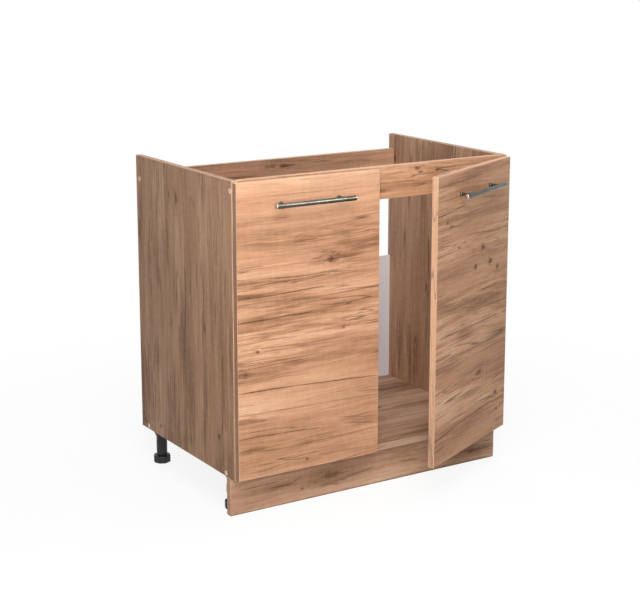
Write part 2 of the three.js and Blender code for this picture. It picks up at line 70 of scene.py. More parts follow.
MM = 0.001
TINY = 1e-6
TURN_SIDES = 64
SMALL_SIDES = 40
SHARP_FROM = math.radians(38)
ARRIS_FROM = math.radians(50)
FLAT_WITHIN = math.radians(0.2)
LEVELS = ("lower", "upper")
ENDS = ("inner", "outer")
ABOVE_BELOW = ((-1, "low"), (1, "high"))
CORNERS = ((-1, -1), (1, -1), (-1, 1), (1, 1))
AROUND = ((1, 1), (-1, 1), (-1, -1), (1, -1))


class Hand(Enum):
    """The two halves of the cabinet, with the sign of their side of the X axis."""

    LEFT = -1
    RIGHT = 1

    def of(self, part: str) -> str:
        """The name of one half's part."""
        return f"{self.name.lower()}_{part}"


class Axis(Enum):
    """The axes of the row frame, by their place in a vector."""

    X = 0
    Y = 1
    Z = 2


class Cut(Enum):
    """Ways of combining two closed forms."""

    JOIN = "UNION"
    TAKE_AWAY = "DIFFERENCE"


def shade(code: str) -> tuple[float, ...]:
    """A display colour as linear light.

    Args:
        code: six hexadecimal digits, as red, green and blue.

    Returns:
        Linear red, green, blue and a full alpha.
    """
    values = [int(code[i : i + 2], 16) / 255 for i in (0, 2, 4)]
    linear = [v / 12.92 if v <= 0.04045 else ((v + 0.055) / 1.055) ** 2.4 for v in values]
    return (*linear, 1.0)


# ---- Places ----


@dataclass(frozen=True)
class Box:
    """The space of a node."""

    low: Vector
    high: Vector

    @classmethod
    def of(cls, node: str) -> "Box":
        """The space of a node as it stands."""
        return cls(*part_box(node))

    @classmethod
    def mirrored(cls, part: str) -> "Box":
        """The space of a left-hand part, mirrored to the right-hand half."""
        low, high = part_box(Hand.LEFT.of(part))
        return cls(Vector((-high.x, low.y, low.z)), Vector((-low.x, high.y, high.z)))

    @property
    def centre(self) -> Vector:
        """The middle of the box."""
        return (self.low + self.high) / 2

    @property
    def size(self) -> Vector:
        """The lengths of the box's sides."""
        return self.high - self.low


@dataclass(frozen=True)
class Swing:
    """Where a door stands at rest: its hinge line and the angle it is open by, about +Z."""

    pivot: Vector
    angle: float

    @classmethod
    def of(cls, hand: Hand) -> "Swing":
        """The swing of one door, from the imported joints."""
        joint = next(j for j in frame["joints"] if j["name"] == hand.of("door_swing"))
        angle = -math.radians(joint["range_deg"][0]) * joint["axis"][2]
        return cls(Vector(joint["pos_m"]), angle)

    @property
    def matrix(self) -> Matrix:
        """The move from closed to where the door stands."""
        there = Matrix.Translation(self.pivot)
        return there @ Matrix.Rotation(self.angle, 4, "Z") @ there.inverted()


# ---- Shader wiring ----


@dataclass(frozen=True)
class Signal:
    """What a shader node puts out. Arithmetic on it adds nodes to the same tree."""

    wiring: "Wiring"
    socket: NodeSocket

    def __add__(self, other: "Wire") -> "Signal":
        """The sum of both."""
        return self.wiring.math("ADD", self, other)

    def __sub__(self, other: "Wire") -> "Signal":
        """The difference of both."""
        return self.wiring.math("SUBTRACT", self, other)

    def __rsub__(self, other: float) -> "Signal":
        """A plain number less this signal."""
        return self.wiring.math("SUBTRACT", other, self)

    def __mul__(self, other: "Wire") -> "Signal":
        """The product of both."""
        return self.wiring.math("MULTIPLY", self, other)

    def __truediv__(self, other: "Wire") -> "Signal":
        """The quotient of both."""
        return self.wiring.math("DIVIDE", self, other)

    def __abs__(self) -> "Signal":
        """The signal without its sign."""
        return self.wiring.math("ABSOLUTE", self)

    __radd__ = __add__
    __rmul__ = __mul__


Signals = dict[str, Signal]
Wire = float | tuple[float, ...] | Vector | Signal


@dataclass(frozen=True)
class Waves:
    """Soft noise: its waves per metre along three axes, its finer layers and how strong they are."""

    x: float
    y: float
    z: float = 1.0
    layers: float = 2.0
    coarse: float = 0.6


class Wiring:
    """Adds nodes to one shader tree and joins them."""

    def __init__(self, tree: NodeTree) -> None:
        """Keeps the tree that the nodes go to."""
        self.tree = tree

    def add(self, kind: str, inputs: dict[int | str, Wire] | None = None, **options: Any) -> Node:
        """A new node with its options set and its sockets fed.

        Args:
            kind: the node's type without its leading ShaderNode.
            inputs: what each socket gets, a plain value or a signal.
            options: the node's own settings.

        Returns:
            The node.
        """
        node = self.tree.nodes.new("ShaderNode" + kind)
        for name, value in options.items():
            setattr(node, name, value)
        for key, value in (inputs or {}).items():
            self.feed(node.inputs[key], value)
        return node

    def feed(self, socket: NodeSocket, value: Wire) -> None:
        """Links a socket to a signal, or sets its plain value."""
        if isinstance(value, Signal):
            self.tree.links.new(value.socket, socket)
        else:
            socket.default_value = value

    def signal(self, node: Node, output: int | str = 0) -> Signal:
        """One output of a node."""
        return Signal(self, node.outputs[output])

    def get(self, kind: str, inputs: dict[int | str, Wire] | None = None, **options: Any) -> Signal:
        """The first output of a new node; see add."""
        return self.signal(self.add(kind, inputs, **options))

    def math(self, operation: str, *values: Wire) -> Signal:
        """One step of arithmetic on plain numbers."""
        return self.get("Math", dict(enumerate(values)), operation=operation)

    def vector(self, operation: str, *values: Wire) -> Signal:
        """One step of arithmetic on vectors."""
        return self.get("VectorMath", dict(enumerate(values)), operation=operation)

    def most(self, first: Wire, *others: Wire) -> Wire:
        """The greatest of several numbers at each place."""
        for other in others:
            first = self.math("MAXIMUM", first, other)
        return first

    def split(self, vector: Wire) -> tuple[Signal, ...]:
        """The three numbers of a vector."""
        node = self.add("SeparateXYZ", {0: vector})
        return tuple(self.signal(node, i) for i in range(3))

    def merge(self, x: Wire, y: Wire, z: Wire) -> Signal:
        """A vector of three numbers."""
        return self.get("CombineXYZ", {0: x, 1: y, 2: z})

    def noise(self, place: Wire, waves: Waves) -> Signal:
        """Soft noise round one half."""
        scaled = self.vector("MULTIPLY", place, (waves.x, waves.y, waves.z))
        return self.get("TexNoise", {"Vector": scaled, "Scale": 1.0, "Detail": waves.layers,
                                     "Roughness": waves.coarse})

    def swing(self, place: Wire, waves: Waves) -> Signal:
        """Soft noise round zero."""
        return self.noise(place, waves) - 0.5

    def span(self, value: Wire, low: Wire, high: Wire, start: float = 0, end: float = 1) -> Signal:
        """A smooth step: start comes out below low, end above high. Low may be the greater one."""
        inputs = {0: value, 1: low, 2: high, 3: start, 4: end}
        return self.get("MapRange", inputs, interpolation_type="SMOOTHSTEP")

    def mix(self, share: Wire, first: Wire, second: Wire, blend: str = "MIX") -> Signal:
        """A share of the second colour mixed over the first."""
        node = self.add("Mix", {0: share, 6: first, 7: second}, data_type="RGBA", blend_type=blend)
        return self.signal(node, 2)

    def ramp(self, value: Wire, stops: Iterable[Coloured]) -> Signal:
        """A colour for each value.

        Args:
            value: what chooses the colour.
            stops: values in rising order, each with its colour code.

        Returns:
            The colour.
        """
        node = self.add("ValToRGB", {0: value})
        elements = node.color_ramp.elements
        for i, (where, code) in enumerate(stops):
            element = elements[i] if i < len(elements) else elements.new(1.0)
            element.position = where
            element.color = shade(code)
        return self.signal(node)

    def layered(self, colour: Wire, *layers: tuple[Signal, float, str]) -> Wire:
        """A colour under others, each given by where it lies, how strongly, and its code."""
        for mask, share, code in layers:
            colour = self.mix(mask * share, colour, shade(code))
        return colour

    def bump(self, height: Wire, depth: float, strength: float) -> Signal:
        """Normals bent by a height whose full step is so many metres deep."""
        return self.get("Bump", {"Height": height, "Distance": depth, "Strength": strength})


class Port(Enum):
    """Kinds of sockets on a node group, with the end of their type's name."""

    VALUE = "Float"
    PLACE = "Vector"

    @classmethod
    def of(cls, name: str) -> "Port":
        """The kind of a group's input or output: three of the names stand for vectors."""
        return cls.PLACE if name in ("Place", "Facing", "Grain") else cls.VALUE


class Effect:
    """A shader node group with named inputs and outputs, built once and placed where it is needed."""

    takes: ClassVar[tuple[str, ...]] = ()
    gives: ClassVar[tuple[str, ...]] = ()

    @classmethod
    def tree(cls) -> NodeTree:
        """The group, made on its first use.

        Returns:
            The node group.
        """
        found = bpy.data.node_groups.get(cls.__name__)
        if found:
            return found
        tree = bpy.data.node_groups.new(cls.__name__, "ShaderNodeTree")
        for way, names in (("INPUT", cls.takes), ("OUTPUT", cls.gives)):
            for name in names:
                kind = f"NodeSocket{Port.of(name).value}"
                tree.interface.new_socket(name, in_out=way, socket_type=kind)
        source = tree.nodes.new("NodeGroupInput")
        target = tree.nodes.new("NodeGroupOutput")
        wiring = Wiring(tree)
        made = cls.wire(wiring, {name: wiring.signal(source, name) for name in cls.takes})
        for name, signal in made.items():
            wiring.feed(target.inputs[name], signal)
        return tree

    @classmethod
    def wire(cls, w: Wiring, given: Signals) -> Signals:
        """Lays the group's nodes.

        Args:
            w: the wiring of the group's tree.
            given: the group's inputs.

        Returns:
            What each output gets.
        """
        raise NotImplementedError

    @classmethod
    def place(cls, w: Wiring, **values: Wire) -> Signals:
        """Puts the group in a material, feeds its inputs and gives its outputs by name."""
        node = w.add("Group", values, node_tree=cls.tree())
        return {name: w.signal(node, name) for name in cls.gives}


class BoardFaces(Effect):
    """Lays the grain over a board: along its faces and long edges, and along the bands of its ends."""

    takes = ("Place", "Facing")
    gives = ("Grain", "Edge", "End", "Arris")
    SQUARE_ON = 0.7
    ARRIS_STEP = (0.995, 0.93)
    EDGE_ACROSS, EDGE_LAYER = 3.1, 4.7

    @classmethod
    def wire(cls, w: Wiring, given: Signals) -> Signals:
        """Place and Facing hold along, across and through, in that order; see Effect.wire."""
        along, across, through = w.split(given["Place"])
        at_end, at_side, at_face = w.split(w.vector("ABSOLUTE", given["Facing"]))
        end = w.math("GREATER_THAN", at_end, cls.SQUARE_ON)
        edge = w.most(end, w.math("GREATER_THAN", at_side, cls.SQUARE_ON))
        run = along * (1.0 - end) + across * end
        rise = across * (1.0 - edge) + (through + cls.EDGE_ACROSS) * edge
        arris = w.span(w.most(at_end, at_side, at_face), *cls.ARRIS_STEP)
        return {"Grain": w.merge(run, rise, edge * cls.EDGE_LAYER), "Edge": edge, "End": end,
                "Arris": arris}


class GrainMark(Effect):
    """A mark on the grain; Depth is how dark it is."""

    takes = ("Grain", "Along", "Across", "Length", "Size", "Depth", "Rise")
    gives = ("Shade",)


class GrainKnot(GrainMark):
    """A knot: the grain bends round it, and its heart and rings are darker."""

    gives = ("Grain", "Shade")
    RAGGED, RAGGED_STEP = Waves(70.0, 210.0, layers=3.0, coarse=0.65), (0.3, 0.7, 0.35, 1.9)
    FALL, BEND = -0.7, 0.85
    RING_COUNT, RING_SHADE = 11.0, 0.6
    HEART_STEP = (0.62, 0.06)

    @classmethod
    def wire(cls, w: Wiring, given: Signals) -> Signals:
        """Length and Size are half the knot's length and height; see Effect.wire."""
        along, across, layer = w.split(given["Grain"])
        aside = across - given["Across"]
        run, rise = (along - given["Along"]) / given["Length"], aside / given["Size"]
        away = (run * run + rise * rise) * w.span(w.noise(given["Grain"], cls.RAGGED), *cls.RAGGED_STEP)
        near = w.math("EXPONENT", away * cls.FALL)
        wave = w.math("SINE", w.math("SQRT", away) * cls.RING_COUNT)
        rings = w.span(wave, 0.0, 1.0) * near * cls.RING_SHADE
        dark = w.most(w.span(away, *cls.HEART_STEP), rings)
        return {"Grain": w.merge(along, across - aside * near * cls.BEND, layer),
                "Shade": dark * given["Depth"]}


class GrainCrack(GrainMark):
    """A dark line along the grain, tapered at both ends, in a fainter halo: a crack in the print, and in
    two places a line of painted shade.
    """

    CORE_REACH, HALO_REACH = (1.25, 0.35), 4.0
    HALO_SHADE = 0.34
    TIP_STEP = (0.0, 0.3)

    @classmethod
    def wire(cls, w: Wiring, given: Signals) -> Signals:
        """Size is the line's width, Rise how far it climbs over its length; see Effect.wire."""
        along, across, _ = w.split(given["Grain"])
        run = (along - given["Along"]) / given["Length"]
        away = abs(across - (given["Across"] + run * given["Rise"]))
        inside = w.get("Clamp", {0: run})
        taper = w.math("SQRT", inside * (1.0 - inside) * 4.0)
        reach = given["Size"] * taper + TINY
        core = w.span(away, *[reach * share for share in cls.CORE_REACH])
        halo = w.span(away, reach * cls.HALO_REACH, 0.0) * cls.HALO_SHADE
        return {"Shade": w.most(core, halo) * w.span(taper, *cls.TIP_STEP) * given["Depth"]}


class GrainBand(GrainMark):
    """A broad darker band along the grain that fades out all round."""

    LINES, LINES_STEP = Waves(9.0, 190.0, layers=3.0), (0.33, 0.62, 0.25, 1.0)

    @classmethod
    def wire(cls, w: Wiring, given: Signals) -> Signals:
        """Length and Size are half the band's length and height; see Effect.wire."""
        along, across, _ = w.split(given["Grain"])
        run = (along - given["Along"]) / given["Length"]
        rise = (across - given["Across"]) / given["Size"]
        near = w.math("EXPONENT", (run * run + rise * rise) * -1.0)
        lines = w.span(w.noise(given["Grain"], cls.LINES), *cls.LINES_STEP)
        return {"Shade": near * lines * given["Depth"]}


class OakFigure(Effect):
    """The printed oak itself: tones, ochre stretches, flecks, pores, short drying checks and saw ripple.

    Drifts bend the grain and tones shade it, each by its waves and its weight.
    """

    takes = ("Grain",)
    gives = ("Tone", "Ochre", "Pores", "Checks", "Flecks", "Ripple")
    DRIFTS = ((Waves(1.5, 4.0, layers=1.0, coarse=0.5), 0.04),
              (Waves(5.0, 14.0, layers=1.0, coarse=0.5), 0.008))
    TONES = ((Waves(1.4, 9.0), 1.25), (Waves(2.2, 36.0, layers=3.0), 0.8),
             (Waves(6.0, 130.0, layers=3.0), 0.8), (Waves(16.0, 420.0), 0.6))
    MID_TONE = 0.52
    LIVELY_STEP = (0.0, 1.0, 0.55, 1.35)
    BUSY, BUSY_STEP = Waves(2.0, 8.0), (0.42, 0.62)
    OCHRE, OCHRE_STEP = Waves(1.1, 7.0), (0.42, 0.62)
    PORES, PORES_STEP = Waves(42.0, 1150.0, layers=1.0, coarse=0.5), (0.6, 0.74)
    FLECKS, FLECKS_STEP = Waves(16.0, 240.0), (0.56, 0.7)
    CHECKS, CHECKS_STEP = Waves(1.6, 32.0, coarse=0.5), (0.014, 0.0)
    CHECKED, CHECKED_STEP = Waves(3.1, 13.0, layers=1.0, coarse=0.5), (0.49, 0.6)
    RIPPLE = Waves(95.0, 38.0)

    @classmethod
    def wire(cls, w: Wiring, given: Signals) -> Signals:
        """Tones are livelier and flecks show where the grain is busy; see Effect.wire."""
        along, across, layer = w.split(given["Grain"])
        for waves, weight in cls.DRIFTS:
            across = across + w.swing(given["Grain"], waves) * weight
        grain = w.merge(along, across, layer)
        busy = w.span(w.noise(grain, cls.BUSY), *cls.BUSY_STEP)
        lively = w.span(busy, *cls.LIVELY_STEP)
        tone: Wire = cls.MID_TONE
        for waves, weight in cls.TONES:
            tone = tone + w.swing(grain, waves) * lively * weight
        checks = w.span(abs(w.swing(grain, cls.CHECKS)), *cls.CHECKS_STEP)
        return {
            "Tone": w.get("Clamp", {0: tone}),
            "Ochre": w.span(w.noise(grain, cls.OCHRE), *cls.OCHRE_STEP),
            "Pores": w.span(w.noise(grain, cls.PORES), *cls.PORES_STEP),
            "Checks": checks * w.span(w.noise(grain, cls.CHECKED), *cls.CHECKED_STEP),
            "Flecks": w.span(w.noise(grain, cls.FLECKS), *cls.FLECKS_STEP) * busy,
            "Ripple": w.noise(grain, cls.RIPPLE),
        }


class MouldedSkin(Effect):
    """The skin of a moulded plastic part: a fine grain, broad cloudiness and stray scuffs."""

    takes = ("Place",)
    gives = ("Cloud", "Texture", "Scuffs")
    CLOUD, TEXTURE = Waves(28.0, 28.0, 28.0, coarse=0.5), Waves(1500.0, 1500.0, 1500.0)
    SCUFFS, SCUFFS_STEP = Waves(90.0, 90.0, 14.0, 3.0), (0.012, 0.0)

    @classmethod
    def wire(cls, w: Wiring, given: Signals) -> Signals:
        """Scuffs are long streaks along Z; see Effect.wire."""
        place = given["Place"]
        return {"Cloud": w.noise(place, cls.CLOUD), "Texture": w.noise(place, cls.TEXTURE),
                "Scuffs": w.span(abs(w.swing(place, cls.SCUFFS)), *cls.SCUFFS_STEP)}


class PolishLines(Effect):
    """Fine lines left by polishing or rolling, with soft stains over them."""

    takes = ("Place", "Fineness")
    gives = ("Lines", "Stains")
    ALONG = 18.0
    LINES, STAINS = Waves(1.0, 1.0, 1.0, 3.0, 0.65), Waves(55.0, 55.0, 55.0, 3.0, 0.55)

    @classmethod
    def wire(cls, w: Wiring, given: Signals) -> Signals:
        """Fineness is the number of lines per metre; see Effect.wire."""
        x, y, z = w.split(given["Place"])
        place = w.merge(x * cls.ALONG, y * given["Fineness"], z * given["Fineness"])
        return {"Lines": w.noise(place, cls.LINES), "Stains": w.noise(given["Place"], cls.STAINS)}


# ---- Finishes ----


@dataclass(frozen=True)
class Finish:
    """A named surface finish, made into one material on its first use."""

    name: str

    def material(self) -> Material:
        """The material, shared by every piece with this finish."""
        found = bpy.data.materials.get(self.name)
        if found:
            return found
        material = bpy.data.materials.new(self.name)
        material.use_nodes = True
        tree = material.node_tree
        self.dress(Wiring(tree), tree.nodes["Principled BSDF"])
        return material

    def dress(self, w: Wiring, surface: Node) -> None:
        """Lays the finish's nodes.

        Args:
            w: the wiring of the material.
            surface: the Principled shader that they feed.
        """
        raise NotImplementedError

    @staticmethod
    def settle(w: Wiring, surface: Node, **values: Wire) -> None:
        """Feeds the shader's sockets, with _ for a space in their names."""
        for name, value in values.items():
            w.feed(surface.inputs[name.replace("_", " ")], value)


class Tint(Enum):
    """The oak's colours on a board, from the darkest grain to the lightest.

    FACE is the oak as printed. SIDE, SHADED, INSIDE and PLINTH are darker copies of the same print: painted
    shade for the left side and back rail, the right side, the bottom panel and the plinth under the doors.
    """

    FACE = ("865e44", "af7f61", "d09b78", "e1af8b", "eec39f")
    SIDE = ("775740", "9c745a", "bb8f71", "cca181", "dfb796")
    SHADED = ("6f513d", "8f6c55", "ab8469", "be987c", "d0ad91")
    PLINTH = ("84634c", "a57e63", "c4987b", "d3aa8c", "e1bb9d")
    INSIDE = ("6c5241", "8c6c57", "aa866e", "bb977f", "cba890")


@dataclass(frozen=True)
class BoardLook:
    """How the oak is printed on one board, and how round its arrises are.

    The axes run along, across and through the board. Marks are rows in millimetres from its lowest
    corner. A knot or band has its place along and across, half its length and height, and its depth.
    A crack row, also used for two lines of painted shade, has its start's place, its end's place, its width
    and its depth.
    """

    seed: float
    tint: Tint = Tint.FACE
    axes: tuple[Axis, Axis, Axis] = (Axis.X, Axis.Z, Axis.Y)
    contrast: float = 1.0
    # End darkening: the ends' printed bands, and on the left door painted shade as well.
    end_shade: float = 0.16
    arris: float = 1.0 * MM
    knots: Rows = ()
    cracks: Rows = ()
    bands: Rows = ()


@dataclass(frozen=True)
class OakLaminate(Finish):
    """Oak-grain laminate on one board, with the marks that stand out on it.

    Corner is the board's lowest corner while it is square on, and swing is how it is turned from there.
    What lies over the oak's tones has the share it covers by and its colour.
    """

    look: BoardLook
    corner: Triple
    swing: Swing | None = None
    TONE_STOPS = (0.0, 0.28, 0.5, 0.7, 1.0)
    SEED_STEPS = (1.0, 0.37, 1.7)
    SHAKE = Waves(14.0, 30.0, layers=3.0)
    SHAKE_REACH = 4 * MM
    OCHRE = (0.14, "b48c5a")
    BAND = (0.55, "7f583c")
    FLECK = (0.5, "7c573d")
    PORE = (0.22, "7c573d")
    KNOT = (0.75, "5b3820")
    # Colour of the crack rows and drying checks; two of the rows are painted shade.
    CRACK = (0.92, "57341c")
    # Paler colour on every edge: partly the edge band's own colour, partly painted light for the brightly
    # lit top edges.
    EDGE = (0.22, "f0cfb2")
    END_COLOUR = "754829"
    # Painted highlight: a pale line along every rounded arris, where the rounding would catch the light.
    ARRIS = (0.55, "f0cfb2")
    # Painted glint: a pale sheen screened over the crests of the saw ripple.
    GLINT = "f6d8bb"
    GLINT_STEP = (0.4, 0.7, 0.0, 0.05)
    ROUGH_STEP = (0.2, 0.8, 0.56, 0.46)
    KNOT_HALO = 0.6
    BAND_TONE = 0.5
    CHECK_DEPTH = 0.7
    CRACK_GAIN = 1.15
    PORE_ROUGH = 0.16
    PORE_DEPTH = 0.5
    RIPPLE_DEPTH = 0.2
    SPECULAR = 0.2
    BUMP = (0.3 * MM, 0.35)

    def dress(self, w: Wiring, surface: Node) -> None:
        """Lays the board's faces, figure and marks; see Finish.dress."""
        look, faces = self.look, self.faces(w)
        edge, middle = faces["Edge"], OakFigure.MID_TONE
        grain, knots = self.marked(w, GrainKnot, self.unsteady(w, faces["Grain"]), look.knots)
        _, bands = self.marked(w, GrainBand, grain, look.bands)
        ends = [(u0, v0, u1 - u0, width, depth, v1 - v0) for u0, v0, u1, v1, width, depth in look.cracks]
        _, cracks = self.marked(w, GrainCrack, grain, ends)
        shifted = w.vector("ADD", grain, tuple(look.seed * step for step in self.SEED_STEPS))
        oak = OakFigure.place(w, Grain=shifted)
        face = 1.0 - edge
        knots = knots * face
        bands = w.most(bands * face, knots * self.KNOT_HALO)
        cracks = w.most(cracks * face, oak["Checks"] * self.CHECK_DEPTH) * self.CRACK_GAIN
        cracks = w.math("MINIMUM", cracks, 1.0)
        tone = (oak["Tone"] - middle) * look.contrast + middle - bands * self.BAND_TONE
        colour = w.layered(
            w.ramp(tone, zip(self.TONE_STOPS, look.tint.value)), (oak["Ochre"], *self.OCHRE),
            (bands, *self.BAND), (oak["Flecks"], *self.FLECK), (oak["Pores"], *self.PORE),
            (knots, *self.KNOT), (cracks, *self.CRACK),
        )
        colour = w.mix(w.span(oak["Ripple"], *self.GLINT_STEP), colour, shade(self.GLINT), "SCREEN")
        # Ends go darker by the look's end share: printed bands, plus painted shade on the left door's end.
        colour = w.layered(colour, (edge, *self.EDGE), (faces["End"], look.end_shade, self.END_COLOUR),
                           # The arris layer is painted highlight.
                           (faces["Arris"], *self.ARRIS))
        rough = w.span(oak["Tone"], *self.ROUGH_STEP) + oak["Pores"] * self.PORE_ROUGH
        sunk = w.most(cracks, oak["Pores"] * self.PORE_DEPTH) + oak["Ripple"] * self.RIPPLE_DEPTH
        self.settle(w, surface, Base_Color=colour, Roughness=rough, Specular_IOR_Level=self.SPECULAR,
                    Normal=w.bump(1.0 - sunk, *self.BUMP))

    def faces(self, w: Wiring) -> Signals:
        """What the board's faces give, from where the surface is and where it faces."""
        seen = w.add("TexCoord")
        place, facing = w.signal(seen, "Object"), w.signal(seen, "Normal")
        if self.swing:
            place = self.unswung(w, place, self.swing.pivot)
            facing = self.unswung(w, facing, Vector())
        place = w.vector("SUBTRACT", place, self.corner)
        place, facing = (w.merge(*[w.split(v)[axis.value] for axis in self.look.axes])
                         for v in (place, facing))
        return BoardFaces.place(w, Place=place, Facing=facing)

    def unswung(self, w: Wiring, vector: Signal, pivot: Vector) -> Signal:
        """A place or direction, turned back to where the board is square on."""
        inputs = {"Vector": vector, "Center": pivot, "Angle": -self.swing.angle}
        return w.get("VectorRotate", inputs, rotation_type="Z_AXIS")

    def unsteady(self, w: Wiring, grain: Signal) -> Signal:
        """The grain's place, shaken a little so that no line runs dead straight."""
        return w.vector("ADD", grain, w.merge(0.0, w.swing(grain, self.SHAKE) * self.SHAKE_REACH, 0.0))

    @staticmethod
    def marked(w: Wiring, kind: type[GrainMark], grain: Signal,
               marks: Iterable[Sequence[float]]) -> tuple[Signal, Wire]:
        """The grain with marks of one kind on it.

        Args:
            w: the wiring of the material.
            kind: the kind of mark.
            grain: the grain's place.
            marks: rows of place along, place across, length, size, depth and, for a crack, rise.

        Returns:
            The grain's place, bent where a mark bends it, and the shade of the darkest mark.
        """
        dark: Wire = 0.0
        for along, across, length, size, depth, *rise in marks:
            made = kind.place(w, Grain=grain, Along=along * MM, Across=across * MM, Length=length * MM,
                              Size=size * MM, Depth=depth, Rise=sum(rise) * MM)
            grain = made.get("Grain", grain)
            dark = w.most(dark, made["Shade"])
        return grain, dark


@dataclass(frozen=True)
class FacedHardboard(Finish):
    """Thin fibreboard with a white lacquered front and a bare brown back."""

    ROLLER = Waves(700.0, 700.0, 700.0, coarse=0.5)
    FIBRES = Waves(420.0, 90.0, 420.0, 4.0, 0.7)
    CLOUD = Waves(5.0, 5.0, 5.0, 3.0, 0.5)
    WHITE = ((0.3, "e6e6ec"), (0.7, "eeeef3"))
    BROWN = ((0.3, "6b4a33"), (0.5, "8f6a4b"), (0.72, "b08a66"))
    ROUGH_STEP = (0.3, 0.7, 0.38, 0.46)
    BACK_ROUGH = 0.4
    ROLLER_DEPTH = 0.3
    BUMP = (0.15 * MM, 0.4)

    def dress(self, w: Wiring, surface: Node) -> None:
        """The lacquer shows a faint roller texture, the back its fibres; see Finish.dress."""
        seen = w.add("TexCoord")
        place = w.signal(seen, "Object")
        behind = w.math("GREATER_THAN", w.split(w.signal(seen, "Normal"))[1], 0.5)
        roller, fibres = w.noise(place, self.ROLLER), w.noise(place, self.FIBRES)
        white = w.ramp(w.noise(place, self.CLOUD), self.WHITE)
        brown = w.ramp(fibres, self.BROWN)
        rough = w.span(roller, *self.ROUGH_STEP) + behind * self.BACK_ROUGH
        self.settle(w, surface, Base_Color=w.mix(behind, white, brown), Roughness=rough,
                    Normal=w.bump(roller * self.ROLLER_DEPTH + fibres * behind, *self.BUMP))


@dataclass(frozen=True)
class PlatedMetal(Finish):
    """Plated or polished metal with fine lines and faint stains, its ends brighter from some X on."""

    light: str
    dark: str
    roughness: float
    depth: float
    spread: float = 0.08
    fineness: float = 2600.0
    bright_beyond: float = 0.0
    bright: str = "bdbbb4"
    STAINED = (0.3, 0.65)
    LINED = (0.3, 0.7)
    STAIN_ROUGH = (0.55, 0.75, 0.0, 0.05)
    END_BLEND = 0.3 * MM
    BUMP_SHARE = 0.25

    def dress(self, w: Wiring, surface: Node) -> None:
        """Lines bend the sheen and stains dull the colour; see Finish.dress."""
        place = w.signal(w.add("TexCoord"), "Object")
        made = PolishLines.place(w, Place=place, Fineness=self.fineness)
        colour = w.ramp(made["Stains"], zip(self.STAINED, (self.dark, self.light)))
        if self.bright_beyond:
            out = abs(w.split(place)[0])
            at_end = w.span(out, self.bright_beyond, self.bright_beyond + self.END_BLEND)
            colour = w.mix(at_end, colour, shade(self.bright))
        low, high = self.roughness - self.spread, self.roughness + self.spread
        rough = w.span(made["Lines"], *self.LINED, low, high) + w.span(made["Stains"], *self.STAIN_ROUGH)
        self.settle(w, surface, Base_Color=colour, Metallic=1.0, Roughness=rough,
                    Normal=w.bump(made["Lines"], self.depth, self.BUMP_SHARE))


@dataclass(frozen=True)
class MouldedPlastic(Finish):
    """Moulded plastic with a fine grain, cloudy sheen and stray scuffs."""

    light: str = "232423"
    dark: str = "1b1c1b"
    scuffed: str = "4a4a48"
    roughness: float = 0.42
    see_through: float = 0.0
    SPREAD = 0.05
    SPECULAR = 0.35
    CLOUDED = (0.35, 0.65)
    SHEEN = (0.3, 0.7)
    SCUFF_SHARE = 0.35
    SCUFF_ROUGH = 0.12
    BUMP = (0.04 * MM, 0.3)

    def dress(self, w: Wiring, surface: Node) -> None:
        """Grain and scuffs change colour, sheen and height; see Finish.dress."""
        made = MouldedSkin.place(w, Place=w.signal(w.add("TexCoord"), "Object"))
        scuffs = made["Scuffs"]
        colour = w.ramp(made["Cloud"], zip(self.CLOUDED, (self.dark, self.light)))
        low, high = self.roughness - self.SPREAD, self.roughness + self.SPREAD
        self.settle(w, surface, Base_Color=w.layered(colour, (scuffs, self.SCUFF_SHARE, self.scuffed)),
                    Roughness=w.span(made["Cloud"], *self.SHEEN, low, high) + scuffs * self.SCUFF_ROUGH,
                    Transmission_Weight=self.see_through, Specular_IOR_Level=self.SPECULAR,
                    Normal=w.bump(made["Texture"], *self.BUMP))


# The bar's brighter chrome ends are lighter plating and also painted highlight for the glint on its end
# caps.
DARK_CHROME = PlatedMetal("dark_chrome_bar", "63615b", "504e49", 0.2, 0.006 * MM, 0.05,
                          bright_beyond=107.5 * MM)
NICKEL = PlatedMetal("nickel_plate", "c2c3c4", "acadae", 0.26, 0.005 * MM)
ZINC = PlatedMetal("zinc_plate", "b2b2ad", "94948f", 0.38, 0.008 * MM)
BLACK_PLASTIC = MouldedPlastic("black_moulding")
PALE_PLASTIC = MouldedPlastic("pale_cap_moulding", "f4d3b8", "ebc6a8", "cfa685", 0.4)
MILKY_PLASTIC = MouldedPlastic("milky_moulding", "dededa", "d0d0cb", "f2f2ee", 0.32, 0.25)


BUTTED_ARRIS = 0.45 * MM
DOOR_ARRIS = 1.1 * MM
UPRIGHT = (Axis.Z, Axis.Y, Axis.X)
LYING = (Axis.X, Axis.Y, Axis.Z)
